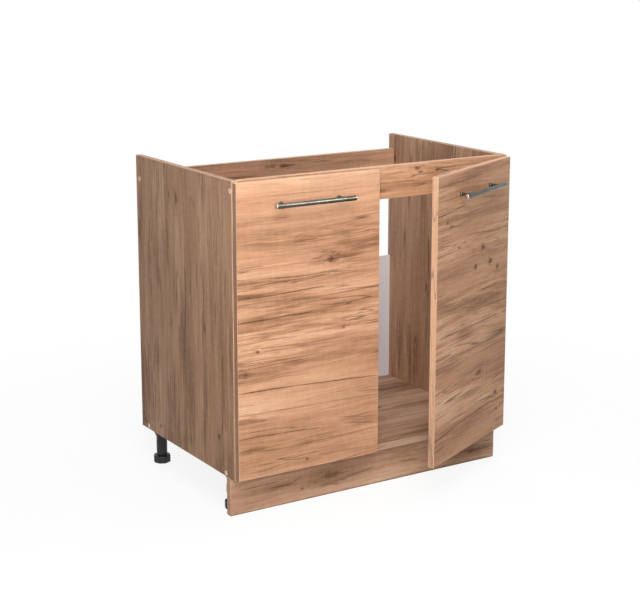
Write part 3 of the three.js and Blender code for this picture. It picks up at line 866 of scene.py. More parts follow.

# The plinth's first crack row and the front rail's last are painted shade: a painted shadow along the
# floor, and painted shade on the rail over the left door.
BOARD_LOOKS = {
    "left_door": BoardLook(
        # The left door's dark end is painted shade: it stands in the gap beside the side.
        seed=3.1, end_shade=0.6, arris=DOOR_ARRIS,
        knots=(
            (258, 509, 22, 11, 0.95), (53, 310, 9, 6, 0.85), (22, 259, 9, 6, 0.8), (293, 338, 7, 5, 0.5),
            (189, 22, 8, 6, 0.8),
        ),
        cracks=(
            (150, 562, 222, 564, 1.0, 0.75), (272, 551, 334, 553, 1.0, 0.5), (0, 514, 70, 515, 1.1, 0.6),
            (0, 443, 108, 441, 1.3, 0.85), (96, 442, 240, 446, 1.3, 0.9), (228, 401, 300, 396, 0.9, 0.5),
            (0, 384, 118, 387, 1.5, 1.0), (106, 387, 206, 388, 1.3, 1.0), (40, 338, 160, 333, 1.0, 0.5),
            (4, 320, 190, 312, 1.1, 0.6), (180, 313, 296, 315, 1.0, 0.55), (0, 216, 156, 212, 1.6, 1.0),
            (146, 213, 392, 201, 1.3, 0.9), (334, 169, 396, 165, 1.0, 0.6), (4, 161, 250, 156, 1.0, 0.55),
            (240, 157, 396, 153, 1.0, 0.6), (275, 114, 392, 96, 0.9, 0.45), (304, 95, 392, 81, 1.1, 0.6),
            (0, 103, 120, 102, 1.4, 0.85), (110, 102, 228, 95, 1.2, 0.75), (115, 33, 190, 25, 1.1, 0.75),
            (56, 33, 96, 30, 1.0, 0.5),
        ),
        bands=(
            (180, 50, 280, 70, 0.32), (330, 130, 160, 60, 0.22), (298, 513, 46, 6, 0.75),
            (318, 505, 34, 4, 0.7), (225, 505, 30, 4, 0.6), (80, 474, 130, 11, 0.85), (94, 472, 34, 5, 1.0),
            (290, 470, 150, 15, 0.5), (30, 447, 70, 8, 0.6), (152, 428, 60, 9, 0.6), (262, 398, 60, 8, 0.4),
            (154, 274, 42, 9, 0.95), (60, 262, 90, 20, 0.5), (280, 272, 110, 12, 0.5),
            (320, 498, 70, 12, 0.5), (340, 99, 60, 22, 0.6), (235, 66, 170, 9, 0.6), (36, 72, 42, 9, 0.95),
            (180, 560, 120, 28, 0.3), (210, 300, 190, 26, 0.28), (320, 590, 90, 16, 0.35),
            (100, 618, 120, 8, 0.3), (80, 12, 60, 8, 0.5),
        ),
    ),
    "right_door": BoardLook(
        # The right door's end stands in the light, so it gets almost no end darkening.
        seed=11.7, end_shade=0.05, arris=DOOR_ARRIS,
        knots=(
            (249, 503, 15, 11, 1.0), (291, 461, 15, 11, 1.0), (208, 461, 14, 10, 0.95),
            (333, 439, 13, 9, 0.85), (51, 597, 10, 8, 0.75), (240, 184, 26, 13, 0.8),
            (339, 105, 15, 9, 0.95),
        ),
        cracks=(
            (0, 616, 84, 621, 1.4, 0.85), (78, 621, 150, 627, 1.2, 0.8), (157, 551, 356, 533, 1.1, 0.6),
            (196, 399, 356, 392, 1.1, 0.6), (15, 318, 176, 315, 1.3, 0.8), (168, 315, 345, 313, 1.3, 0.8),
            (108, 254, 288, 256, 1.3, 0.8), (0, 66, 128, 77, 1.4, 0.9), (120, 77, 345, 88, 1.3, 0.85),
            (21, 185, 98, 192, 1.0, 0.5), (84, 49, 162, 40, 1.0, 0.6), (304, 141, 370, 151, 1.1, 0.6),
            (0, 36, 60, 44, 1.2, 0.6), (60, 580, 190, 588, 1.0, 0.5),
        ),
        bands=(
            (120, 690, 150, 9, 0.8), (280, 360, 100, 8, 0.85), (46, 392, 34, 6, 0.6),
            (155, 297, 48, 9, 0.75), (250, 196, 130, 10, 0.5), (186, 140, 62, 9, 0.7),
            (90, 470, 110, 26, 0.35), (60, 240, 110, 22, 0.4), (300, 610, 90, 24, 0.4),
            (330, 260, 70, 26, 0.4), (120, 60, 150, 14, 0.35),
        ),
    ),
    "left_side": BoardLook(
        seed=5.3, tint=Tint.SIDE, axes=UPRIGHT, contrast=1.15,
        knots=((640, 280, 24, 11, 0.8), (90, 76, 12, 10, 0.8), (28, 389, 8, 8, 0.5)),
        cracks=(
            (249, 247, 471, 236, 2.0, 0.85), (365, 429, 413, 429, 2.2, 0.6), (380, 376, 430, 376, 2.2, 0.6),
            (408, 214, 446, 214, 2.0, 0.65), (440, 38, 508, 33, 1.8, 0.6), (269, 13, 327, 18, 1.8, 0.6),
            (37, 308, 224, 308, 2.0, 0.8), (510, 78, 548, 78, 1.8, 0.55), (292, 150, 390, 150, 1.8, 0.6),
            (160, 423, 262, 411, 2.0, 0.6), (433, 177, 503, 177, 1.8, 0.55), (94, 342, 165, 342, 2.0, 0.6),
            (354, 88, 428, 83, 1.8, 0.55), (564, 388, 636, 388, 1.8, 0.5), (550, 161, 610, 166, 1.8, 0.5),
            (151, 458, 238, 447, 2.0, 0.6), (500, 489, 562, 489, 2.4, 0.6), (620, 177, 660, 205, 1.8, 0.5),
        ),
        bands=(
            (212, 400, 44, 12, 0.8), (430, 388, 22, 8, 0.6), (540, 480, 90, 14, 0.5),
            (270, 256, 90, 14, 0.5), (600, 190, 120, 14, 0.4), (80, 313, 100, 14, 0.4),
            (400, 60, 200, 14, 0.35), (150, 200, 160, 16, 0.35),
        ),
    ),
    "right_side": BoardLook(
        seed=8.9, tint=Tint.SHADED, axes=UPRIGHT, contrast=1.2,
        knots=((652, 469, 16, 9, 0.9), (470, 210, 20, 12, 0.7), (150, 360, 14, 10, 0.7)),
        cracks=(
            (330, 300, 460, 306, 2.6, 0.8), (90, 120, 240, 116, 2.6, 0.8), (520, 400, 640, 396, 2.4, 0.7),
            (560, 90, 660, 96, 2.4, 0.7),
        ),
        bands=((300, 200, 120, 16, 0.5), (560, 330, 110, 14, 0.5), (120, 440, 90, 14, 0.5)),
    ),
    "bottom_panel": BoardLook(
        seed=14.2, tint=Tint.INSIDE, axes=LYING, contrast=1.3, arris=BUTTED_ARRIS,
        knots=((560, 250, 26, 14, 0.7), (210, 330, 16, 10, 0.7)),
        cracks=(
            (60, 150, 260, 158, 1.4, 0.8), (380, 96, 620, 90, 1.4, 0.8), (420, 380, 700, 388, 1.4, 0.8),
        ),
        bands=((420, 170, 160, 16, 0.5), (640, 60, 120, 14, 0.6), (120, 420, 120, 16, 0.5)),
    ),
    "front_rail": BoardLook(
        seed=17.6, arris=BUTTED_ARRIS,
        knots=((505, 68, 16, 7, 0.75), (515, 58, 14, 7, 0.8), (565, 59, 10, 6, 0.7)),
        cracks=(
            # The last row is painted shade on the rail's top strip, over the left door.
            (90, 30, 260, 26, 1.2, 0.7), (560, 62, 700, 66, 1.2, 0.6), (-60, 77.5, 390, 77.5, 1.7, 0.45),
        ),
        bands=(
            (300, 40, 160, 12, 0.5), (395, 21, 30, 5, 0.9), (480, 30, 90, 8, 0.35), (540, 60, 60, 12, 0.4),
        ),
    ),
    "back_rail": BoardLook(
        seed=20.8, tint=Tint.SIDE, arris=BUTTED_ARRIS,
        knots=((407, 60, 22, 7, 0.85), (366, 62, 26, 8, 0.55)),
        cracks=((120, 44, 330, 40, 1.2, 0.7), (470, 26, 690, 30, 1.2, 0.7)),
        bands=((240, 30, 120, 10, 0.6), (600, 50, 130, 10, 0.6)),
    ),
    "plinth": BoardLook(
        seed=23.4, tint=Tint.PLINTH,
        knots=((283, 48, 42, 15, 0.75), (201, 31, 8, 5, 0.8)),
        cracks=(
            # The first row is a painted shadow along the floor.
            (-40, 1, 840, 1, 1.8, 0.75), (250, 30, 312, 32, 1.2, 0.8), (304, 32, 418, 45, 1.2, 0.8),
            (105, 49, 176, 50, 1.2, 0.8), (168, 50, 202, 61, 1.1, 0.7), (492, 45, 556, 39, 1.2, 0.7),
            (684, 32, 798, 29, 1.3, 0.8), (20, 20, 120, 24, 1.1, 0.5),
        ),
        bands=(
            (283, 45, 90, 20, 0.6), (140, 46, 70, 10, 0.5), (740, 32, 70, 10, 0.6), (520, 60, 90, 12, 0.4),
        ),
    ),
}


# ---- Forms ----


class Form:
    """A closed mesh in the making, in metres, about its own origin."""

    def __init__(self) -> None:
        """Starts with nothing."""
        self.mesh = bmesh.new()

    @classmethod
    def lofted(cls, rings: Sequence[Sequence[Vector]]) -> "Form":
        """Rings of points joined one to the next, with both ends capped.

        Args:
            rings: each a ring of the same number of points, or a single point.

        Returns:
            The form.
        """
        form = cls()
        made = [[form.mesh.verts.new(point) for point in points] for points in rings]
        for lower, upper in zip(made, made[1:]):
            form.bridge(lower, upper)
        for end in (made[0], made[-1]):
            if len(end) > 2:
                form.mesh.faces.new(end)
        return form.facing_out()

    def bridge(self, lower: list, upper: list) -> None:
        """Faces between two rings, either of which may be a single point."""
        count = max(len(lower), len(upper))
        for i in range(count):
            j = (i + 1) % count
            corners = (lower[i % len(lower)], lower[j % len(lower)], upper[j % len(upper)],
                       upper[i % len(upper)])
            unique = list(dict.fromkeys(corners))
            if len(unique) > 2:
                self.mesh.faces.new(unique)

    @classmethod
    def turned(cls, profile: Sequence[Pair], sides: int = TURN_SIDES) -> "Form":
        """A profile of radii and heights, turned about the Z axis."""
        return cls.lofted([ring(height, [radius] * (sides if radius > TINY else 1))
                           for radius, height in profile])

    @classmethod
    def rod(cls, radius: float, low: float, high: float, sides: int = TURN_SIDES) -> "Form":
        """A round rod along the Z axis, from one height to another."""
        return cls.turned([(0.0, low), (radius, low), (radius, high), (0.0, high)], sides)

    @classmethod
    def raised(cls, outline: Sequence[Pair], low: float, high: float) -> "Form":
        """A flat outline in X and Y, raised along Z from one height to another."""
        return cls.lofted([[Vector((x, y, z)) for x, y in outline] for z in (low, high)])

    def facing_out(self) -> "Form":
        """Turns every face outwards."""
        bmesh.ops.recalc_face_normals(self.mesh, faces=self.mesh.faces)
        return self

    def moved(self, move: Matrix) -> "Form":
        """The form after a move; a mirror keeps its faces outwards."""
        bmesh.ops.transform(self.mesh, matrix=move, verts=self.mesh.verts)
        return self.facing_out() if move.to_3x3().determinant() < 0 else self

    def shifted(self, x: float = 0, y: float = 0, z: float = 0) -> "Form":
        """The form moved along the axes."""
        return self.moved(Matrix.Translation((x, y, z)))

    def rotated(self, degrees: float, axis: str) -> "Form":
        """The form turned about an axis through its origin."""
        return self.moved(Matrix.Rotation(math.radians(degrees), 4, axis))

    def outward(self) -> "Form":
        """The form, made along +Z, turned to point out of the right side."""
        return self.rotated(90, "Y")

    def forward(self) -> "Form":
        """The form, made along +Z, turned to point out of the front."""
        return self.rotated(90, "X")

    def copy(self) -> "Form":
        """A second form with the same mesh."""
        form = Form()
        form.mesh = self.mesh.copy()
        return form

    def combined(self, other: "Form", cut: Cut) -> "Form":
        """This form joined with another one or cut by it.

        Args:
            other: the second form.
            cut: how they are combined.

        Returns:
            This form, changed.
        """
        first, second = (form.on_bench() for form in (self, other))
        modifier = first.modifiers.new("combine", "BOOLEAN")
        modifier.operation = cut.value
        modifier.solver = "EXACT"
        modifier.object = second
        evaluated = first.evaluated_get(bpy.context.evaluated_depsgraph_get())
        result = bpy.data.meshes.new_from_object(evaluated)
        self.mesh.clear()
        self.mesh.from_mesh(result)
        for thing in (first, second):
            bpy.data.objects.remove(thing)
        bpy.data.meshes.remove(result)
        bmesh.ops.remove_doubles(self.mesh, verts=self.mesh.verts, dist=TINY)
        return self

    def joined(self, other: "Form") -> "Form":
        """This form with another one added to it."""
        return self.combined(other, Cut.JOIN)

    def without(self, other: "Form") -> "Form":
        """This form with another one taken away from it."""
        return self.combined(other, Cut.TAKE_AWAY)

    def on_bench(self) -> Object:
        """A passing object that holds the mesh while it is combined."""
        return stand("bench", self.finished("bench"))

    def softened(self, radius: float, steps: int = 2, limit: float = 40.0) -> "Form":
        """Rounds the sharp edges.

        Args:
            radius: the rounding's radius.
            steps: the faces across it.
            limit: the angle in degrees from which an edge counts as sharp.

        Returns:
            This form, changed.
        """
        bmesh.ops.dissolve_limit(self.mesh, angle_limit=FLAT_WITHIN, verts=self.mesh.verts,
                                 edges=self.mesh.edges)
        sharp = [e for e in self.mesh.edges
                 if len(e.link_faces) == 2 and e.calc_face_angle(0.0) > math.radians(limit)]
        bmesh.ops.bevel(self.mesh, geom=sharp, offset=radius, segments=steps, profile=0.5,
                        affect="EDGES", clamp_overlap=True)
        return self

    def finished(self, name: str) -> Mesh:
        """The form as a named mesh with smooth round faces and sharp edges."""
        made = bpy.data.meshes.new(name)
        self.mesh.to_mesh(made)
        made.shade_smooth()
        made.set_sharp_from_angle(angle=SHARP_FROM)
        return made


def turns(sides: int = TURN_SIDES) -> list[float]:
    """The angles of a full turn's steps."""
    return [2 * math.pi * i / sides for i in range(sides)]


def ring(height: float, radii: Sequence[float]) -> list[Vector]:
    """A level ring of points about the Z axis, one for each radius."""
    return [Vector((r * math.cos(a), r * math.sin(a), height)) for r, a in zip(radii, turns(len(radii)))]


def stand(name: str, content: Any) -> Object:
    """A new object with some content, linked to the scene."""
    thing = bpy.data.objects.new(name, content)
    bpy.context.scene.collection.objects.link(thing)
    return thing


def rounded(width: float, height: float, radius: float, steps: int = 8) -> list[Pair]:
    """The outline of a rectangle with round corners about its middle.

    Args:
        width: its size in X.
        height: its size in Y.
        radius: the corners' radius.
        steps: the sides of each corner.

    Returns:
        The outline's points, anticlockwise.
    """
    points = []
    for quarter, (sx, sy) in enumerate(AROUND):
        centre = (sx * (width / 2 - radius), sy * (height / 2 - radius))
        points += arc(centre, radius, 90 * quarter, 90 * quarter + 90, steps)
    return points


def arc(centre: Pair, radius: float, start: float, end: float, steps: int = 6) -> list[Pair]:
    """Points along a round corner, from a start angle to an end angle in degrees."""
    angles = [math.radians(start + (end - start) * i / steps) for i in range(steps + 1)]
    return [(centre[0] + radius * math.cos(a), centre[1] + radius * math.sin(a)) for a in angles]


# ---- Sub-assemblies ----


class Facing(Enum):
    """Where a screw head faces on the right-hand half: the axis and degrees that turn it there from up."""

    BACK = ("X", -90)
    DOWN = ("X", 180)
    INWARD = ("Y", -90)


class Fastener(Enum):
    """Screw heads by their use: head radius, height of the dome and size of the cross, in mm."""

    CUP = (3.4, 0.55, 1.7)
    PLATE = (4.2, 1.5, 1.9)
    LEG = (3.9, 1.5, 1.8)
    CLIP = (3.4, 1.2, 1.7)
    HANDLE = (3.6, 0.22, 1.8)
    ADJUSTER = (2.45, 0.5, 1.6)

    def mesh(self) -> Mesh:
        """The head's mesh, made on its first use.

        Returns:
            A domed head with a cross recess, its rim at z = 0 and its dome along +Z.
        """
        name = f"screw_head_{self.name.lower()}"
        found = bpy.data.meshes.get(name)
        if found:
            return found
        radius, dome, cross = (value * MM for value in self.value)
        shank, sunk, collar = radius * 0.5, 1.2 * MM, 0.3 * MM
        curve = [(radius * x, dome * z) for x, z in arc((0.0, 0.0), 1.0, 0, 90)]
        head = Form.turned([(0.0, -sunk), (shank, -sunk), (shank, -collar), *curve[:-1], (0.0, dome)],
                           SMALL_SIDES)
        arm, floor, rim = cross * 0.24, (0.35, dome - 1.15 * MM), (1.05, dome + 0.2 * MM)
        for turn in (0, 90):
            slot = Form.lofted([[Vector((x * cross * share, y * arm * share, z)) for x, y in AROUND]
                                for share, z in (floor, rim)])
            head.without(slot.rotated(turn + 45, "Z"))
        return head.finished(name)


@dataclass
class SubAssembly:
    """Pieces that ride on one body of one half of the cabinet."""

    hand: Hand
    pieces: dict[str, Object] = field(default_factory=dict, init=False)

    @property
    def body(self) -> str:
        """The body that the pieces ride on."""
        return "carcass"

    @property
    def stance(self) -> Matrix:
        """The move from the closed right-hand half to where this one stands."""
        return Matrix.Identity(4)

    def build(self) -> None:
        """Makes the pieces."""
        raise NotImplementedError

    def dress(self) -> None:
        """Gives the pieces and their nodes their finishes."""
        raise NotImplementedError

    def fit(self, form: Form | Mesh, label: str, centre: Vector, stands_in: bool = True,
            body: str | None = None) -> Object:
        """Makes a piece of a form and fixes it in its place.

        Args:
            form: the piece's form about its centre, or a mesh that several pieces share.
            label: the piece's name without its hand.
            centre: its place on the closed right-hand half.
            stands_in: the piece replaces the node of the same name.
            body: the body it rides on, where that isn't the sub-assembly's own.

        Returns:
            The piece.
        """
        name = self.hand.of(label)
        place = centre.copy()
        if self.hand is Hand.LEFT:
            place.x = -place.x
            if isinstance(form, Form):
                form = form.copy().moved(Matrix.Scale(-1, 4, (1, 0, 0)))
        piece = stand(name, form if isinstance(form, Mesh) else form.finished(name))
        piece.matrix_world = self.stance @ Matrix.Translation(place)
        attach(piece, body or self.body)
        if stands_in:
            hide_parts(name)
        self.pieces[label] = piece
        log.info("%s: made", name)
        return piece

    def screw(self, kind: Fastener, label: str, place: Vector, facing: Facing) -> None:
        """Fits a screw head.

        Args:
            kind: the head.
            label: its name without its hand.
            place: the middle of its rim on the closed right-hand half.
            facing: where its dome points.
        """
        piece = self.fit(kind.mesh(), label, place, stands_in=False)
        axis, degrees = facing.value
        if facing is Facing.INWARD:
            degrees *= self.hand.value
        piece.matrix_world = piece.matrix_world @ Matrix.Rotation(math.radians(degrees), 4, axis)

    def paint(self, start: str, finish: Finish, slot: str) -> None:
        """Gives the pieces whose label starts with some words their finish.

        Args:
            start: the words.
            finish: the finish.
            slot: the record's material slot that the finish belongs to; not used.
        """
        for label, piece in self.pieces.items():
            if label.startswith(start):
                if not piece.data.materials:
                    piece.data.materials.append(finish.material())


def dress_node(node: str, finish: Finish, radius: float = 0.0, steps: int = 2) -> None:
    """Gives a node of the model its finish and rounds its arrises.

    Args:
        node: the node's name.
        finish: its finish.
        radius: the arrises' radius, or 0 to leave them sharp.
        steps: the faces across an arris.
    """
    thing = frame["nodes"][node]
    if radius:
        thing.modifiers.new("weld", "WELD").merge_threshold = 0.01 * MM
        bevel = thing.modifiers.new("arris", "BEVEL")
        bevel.width = radius
        bevel.segments = steps
        bevel.limit_method = "ANGLE"
        bevel.angle_limit = ARRIS_FROM
    for slot in thing.material_slots:
        slot.material = finish.material()
    log.info("%s: dressed in %s", node, finish.name)


class OnDoor(SubAssembly):
    """Pieces that ride on a door and stand where it stands."""

    @property
    def body(self) -> str:
        """The door's body."""
        return self.hand.of("door")

    @property
    def stance(self) -> Matrix:
        """The door's swing from closed."""
        return Swing.of(self.hand).matrix


@dataclass
class BarHandle(OnDoor):
    """A round bar across two turned posts."""

    end_rounding: float = 1.2 * MM
    post_radius: float = 4.0 * MM
    collar_radius: float = 5.5 * MM
    collar_length: float = 2.5 * MM
    collar_rounding: float = 0.6 * MM
    fillet: float = 1.4 * MM

    def build(self) -> None:
        """Makes the bar and its posts."""
        space = Box.mirrored("handle_bar")
        half, radius = space.size.x / 2, space.size.z / 2
        end = arc((radius - self.end_rounding, half - self.end_rounding), self.end_rounding, 0, 90)
        start = [(r, -z) for r, z in reversed(end)]
        bar = Form.turned([(0.0, -half), *start, *end, (0.0, half)]).outward()
        self.fit(bar, "handle_bar", space.centre)
        face = Box.mirrored("door").low.y
        reach = face - space.centre.y
        saddle = Form.rod(radius, -half, half).outward().shifted(y=-reach)
        for end_name in ENDS:
            label = f"handle_post_{end_name}"
            post = self.post(reach).forward().without(saddle)
            self.fit(post, label, Vector((Box.mirrored(label).centre.x, face, space.centre.z)))

    def post(self, reach: float) -> Form:
        """One post along +Z, from the door's face to the bar's middle.

        Args:
            reach: its length.

        Returns:
            The post.
        """
        inset, length = self.collar_radius - self.collar_rounding, self.collar_length
        edge = arc((inset, length - self.collar_rounding), self.collar_rounding, 0, 90)
        root = arc((self.post_radius + self.fillet, length + self.fillet), self.fillet, 270, 180)
        root = [point for point in root if point[0] < inset]
        return Form.turned([(0.0, 0.0), (self.collar_radius, 0.0), *edge, *root,
                            (self.post_radius, reach), (0.0, reach)], SMALL_SIDES)

    def dress(self) -> None:
        """Finishes the handle in dark chrome."""
        self.paint("handle", DARK_CHROME, "dark_chrome")


@dataclass
class Door(OnDoor):
    """One door with its hinge cups and the screws in its back."""

    cup_flange_radius: float = 19.5 * MM
    cup_screw_setback: float = 6.0 * MM
    cup_screw_spacing: float = 48.0 * MM

    def build(self) -> None:
        """Puts the screws in the hinge cups and behind the handle's posts."""
        for level in LEVELS:
            space = Box.mirrored(f"hinge_cup_{level}")
            x = space.low.x + self.cup_flange_radius - self.cup_screw_setback
            for side, word in ABOVE_BELOW:
                place = Vector((x, space.high.y, space.centre.z + side * self.cup_screw_spacing / 2))
                self.screw(Fastener.CUP, f"cup_screw_{level}_{word}", place, Facing.BACK)
        for end_name in ENDS:
            place = Box.mirrored(f"handle_post_{end_name}").centre
            place.y = Box.mirrored("door").high.y
            self.screw(Fastener.HANDLE, f"handle_screw_{end_name}", place, Facing.BACK)

    def dress(self) -> None:
        """Finishes the board, the cups and the screws."""
        name = self.hand.of("door")
        closed = Box.mirrored("door") if self.hand is Hand.RIGHT else Box.of(name)
        look = BOARD_LOOKS[name]
        oak = OakLaminate(f"oak_{name}", look, tuple(closed.low), Swing.of(self.hand))
        dress_node(name, oak, look.arris, 4)
        for level in LEVELS:
            dress_node(self.hand.of(f"hinge_cup_{level}"), NICKEL, 0.15 * MM)
        self.paint("cup_screw", NICKEL, "nickel_steel")
        self.paint("handle_screw", ZINC, "zinc_steel")


@dataclass
class HingeMounts(SubAssembly):
    """The carcass's share of the hinges of one door: arms, mounting plates and their screws."""

    plate_screw_setback: float = 17.0 * MM
    plate_screw_spacing: float = 32.0 * MM
    plate_base: float = 2.0 * MM
    adjuster_setbacks: Pair = (24.0 * MM, 51.0 * MM)
    adjuster_depth: float = 0.6 * MM

    def build(self) -> None:
        """Puts the screws in the plates and the adjusters in the arms."""
        front = Box.mirrored("side").low.y
        for level in LEVELS:
            plate, arm = (Box.mirrored(f"hinge_{part}_{level}") for part in ("plate", "arm"))
            for side, word in ABOVE_BELOW:
                place = Vector((plate.high.x - self.plate_base, plate.low.y + self.plate_screw_setback,
                                plate.centre.z + side * self.plate_screw_spacing / 2))
                self.screw(Fastener.PLATE, f"plate_screw_{level}_{word}", place, Facing.INWARD)
            for setback, word in zip(self.adjuster_setbacks, ("front", "back")):
                place = Vector((arm.low.x + self.adjuster_depth, front + setback, plate.centre.z))
                self.screw(Fastener.ADJUSTER, f"hinge_adjuster_{level}_{word}", place, Facing.INWARD)

    def dress(self) -> None:
        """Finishes arms, plates and screws in nickel and the adjusters in zinc."""
        for level in LEVELS:
            for part in ("arm", "plate"):
                dress_node(self.hand.of(f"hinge_{part}_{level}"), NICKEL, 0.25 * MM)
        self.paint("plate_screw", NICKEL, "nickel_steel")
        self.paint("hinge_adjuster", ZINC, "zinc_steel")


@dataclass
class SideFittings(SubAssembly):
    """Carcass screws of one side and the pale caps that cover them."""

    cap_edge: float = 0.8 * MM
    side_gap: float = 0.02 * MM
    dish: float = 0.12 * MM
    dish_shares: Pair = (0.55, 0.3)
    pip_radius: float = 1.7 * MM
    pip_length: float = 2.0 * MM
    places: tuple[str, ...] = ("front_rail", "back_rail", "bottom_front", "bottom_back")

    def build(self) -> None:
        """Makes the four caps."""
        face = Box.mirrored("side").high.x
        for place in self.places:
            space = Box.mirrored(f"cap_{place}")
            radius, height = space.size.z / 2, space.high.x - face - self.side_gap
            edge = [(radius - self.cap_edge + x * self.cap_edge, z * height)
                    for x, z in arc((0.0, 0.0), 1.0, 0, 90)]
            rim, well = (radius * share for share in self.dish_shares)
            floor = height - self.dish
            cap = Form.turned([(0.0, -self.pip_length), (self.pip_radius, -self.pip_length),
                               (self.pip_radius, 0.0), *edge, (rim, height), (well, floor), (0.0, floor)])
            self.fit(cap.outward(), f"cap_{place}", Vector((face, space.centre.y, space.centre.z)))

    def dress(self) -> None:
        """Finishes caps and screws."""
        self.paint("cap", PALE_PLASTIC, "pale_plastic")
        for place in self.places:
            dress_node(self.hand.of(f"screw_{place}"), ZINC)


@dataclass
class Leg(SubAssembly):
    """One adjustable leg: ribbed bracket, tube and screw foot.

    Overlap is how far joined forms run into each other. The ribs' reaches alternate, a groove's heights
    and a recess's points are in order, and a recess's heights count from the disc's top.
    """

    row: str = "front"
    overlap: float = 1.0 * MM
    plate_thickness: float = 4.0 * MM
    plate_corner: float = 9.0 * MM
    socket_bore: float = 14.3 * MM
    socket_wall: float = 1.8 * MM
    socket_flare: float = 1.2 * MM
    mouth_chamfer: float = 0.4 * MM
    rim_chamfer: float = 0.3 * MM
    bore_top: float = 9.7 * MM
    rib_thickness: float = 2.2 * MM
    rib_count: int = 8
    rib_reach: Pair = (25.0 * MM, 28.0 * MM)
    rib_start: float = 2.5 * MM
    rib_foot: float = 0.4 * MM
    rib_end: float = 1.5 * MM
    screw_inset: float = 8.0 * MM
    boss_radius: float = 5.2 * MM
    boss_height: float = 0.8 * MM
    boss_flare: float = 0.4 * MM
    bracket_rounding: float = 0.35 * MM
    tube_cap: float = 3.0 * MM
    tube_rounding: float = 0.8 * MM
    groove_depth: float = 0.5 * MM
    groove_heights: tuple[float, ...] = (5.0 * MM, 5.5 * MM, 7.0 * MM, 7.5 * MM)
    stem_radius: float = 5.0 * MM
    stem_play: float = 0.5 * MM
    thread_depth: float = 0.65 * MM
    thread_pitch: float = 3.0 * MM
    thread_steps: int = 8
    foot_height: float = 20.0 * MM
    foot_rounding: float = 3.0 * MM
    lobes: int = 8
    lobe_depth: float = 1.2 * MM
    recess: tuple[Pair, ...] = ((12.5 * MM, 0.0), (12.0 * MM, -1.2 * MM), (8.0 * MM, -1.2 * MM),
                                (7.4 * MM, -0.1 * MM))
    hollow: tuple[Pair, ...] = ((9.0 * MM, 0.8 * MM), (9.6 * MM, 0.0))

    def build(self) -> None:
        """Makes bracket, tube, foot and the bracket's screws; all legs share their meshes."""
        leg = f"{self.row}_leg"
        middle = Box.mirrored(f"{leg}_tube").centre
        foot_body = self.hand.of(f"{self.row}_foot")
        for part, make, body in (("bracket", self.bracket, None), ("tube", self.tube, None),
                                 ("foot", self.foot, foot_body)):
            space, name = Box.mirrored(f"{leg}_{part}"), f"leg_{part}"
            mesh = bpy.data.meshes.get(name) or make(space).finished(name)
            self.fit(mesh, f"{leg}_{part}", Vector((middle.x, middle.y, space.low.z)), body=body)
        bracket = Box.mirrored(f"{leg}_bracket")
        reach = bracket.size.x / 2 - self.screw_inset
        under = bracket.high.z - self.plate_thickness - self.boss_height
        for i, (sx, sy) in enumerate(CORNERS, 1):
            place = Vector((middle.x + sx * reach, middle.y + sy * reach, under))
            self.screw(Fastener.LEG, f"{leg}_screw_{i}", place, Facing.DOWN)

    def bracket(self, space: Box) -> Form:
        """Plate, socket and ribs, from the socket's lower rim at z = 0.

        Args:
            space: the bracket node's space.

        Returns:
            The bracket.
        """
        height, bore, over = space.size.z, self.socket_bore, self.overlap
        plate_low, ceiling = height - self.plate_thickness, height - self.bore_top
        rim = bore + self.socket_wall
        root = rim + self.socket_flare
        body = Form.raised(rounded(space.size.x, space.size.y, self.plate_corner), plate_low, height)
        body.joined(Form.turned([
            (0.0, ceiling), (bore, ceiling), (bore, self.mouth_chamfer), (bore + self.mouth_chamfer, 0.0),
            (rim - self.rim_chamfer, 0.0), (rim, self.rim_chamfer), (root, plate_low),
            (root, height - over), (0.0, height - over),
        ]))
        for i in range(self.rib_count):
            reach = self.rib_reach[i % len(self.rib_reach)]
            outline = [(rim - over, self.rib_start), (rim + self.rib_foot, self.rib_start),
                       (reach, plate_low - self.rib_end), (reach, plate_low + over),
                       (rim - over, plate_low + over)]
            rib = Form.raised(outline, -self.rib_thickness / 2, self.rib_thickness / 2)
            body.joined(rib.rotated(90, "X").rotated(i * 360 / self.rib_count, "Z"))
        offset, foot = space.size.x / 2 - self.screw_inset, plate_low - self.boss_height
        for sx, sy in CORNERS:
            boss = Form.turned([(0.0, foot), (self.boss_radius, foot),
                                (self.boss_radius + self.boss_flare, plate_low + over),
                                (0.0, plate_low + over)], SMALL_SIDES)
            body.joined(boss.shifted(sx * offset, sy * offset))
        return body.softened(self.bracket_rounding)

    def tube(self, space: Box) -> Form:
        """The tube, bored for the foot's stem, from its lower end at z = 0.

        Args:
            space: the tube node's space.

        Returns:
            The tube.
        """
        radius, height, by = space.size.x / 2, space.size.z, self.tube_rounding
        bore, ceiling = self.stem_radius + self.stem_play, height - self.tube_cap
        depths = (0.0, self.groove_depth, self.groove_depth, 0.0)
        groove = [(radius - depth, z) for depth, z in zip(depths, self.groove_heights)]
        return Form.turned([(0.0, ceiling), (bore, ceiling), (bore, 0.0),
                            *arc((radius - by, by), by, 270, 360), *groove,
                            (radius, height), (0.0, height)])

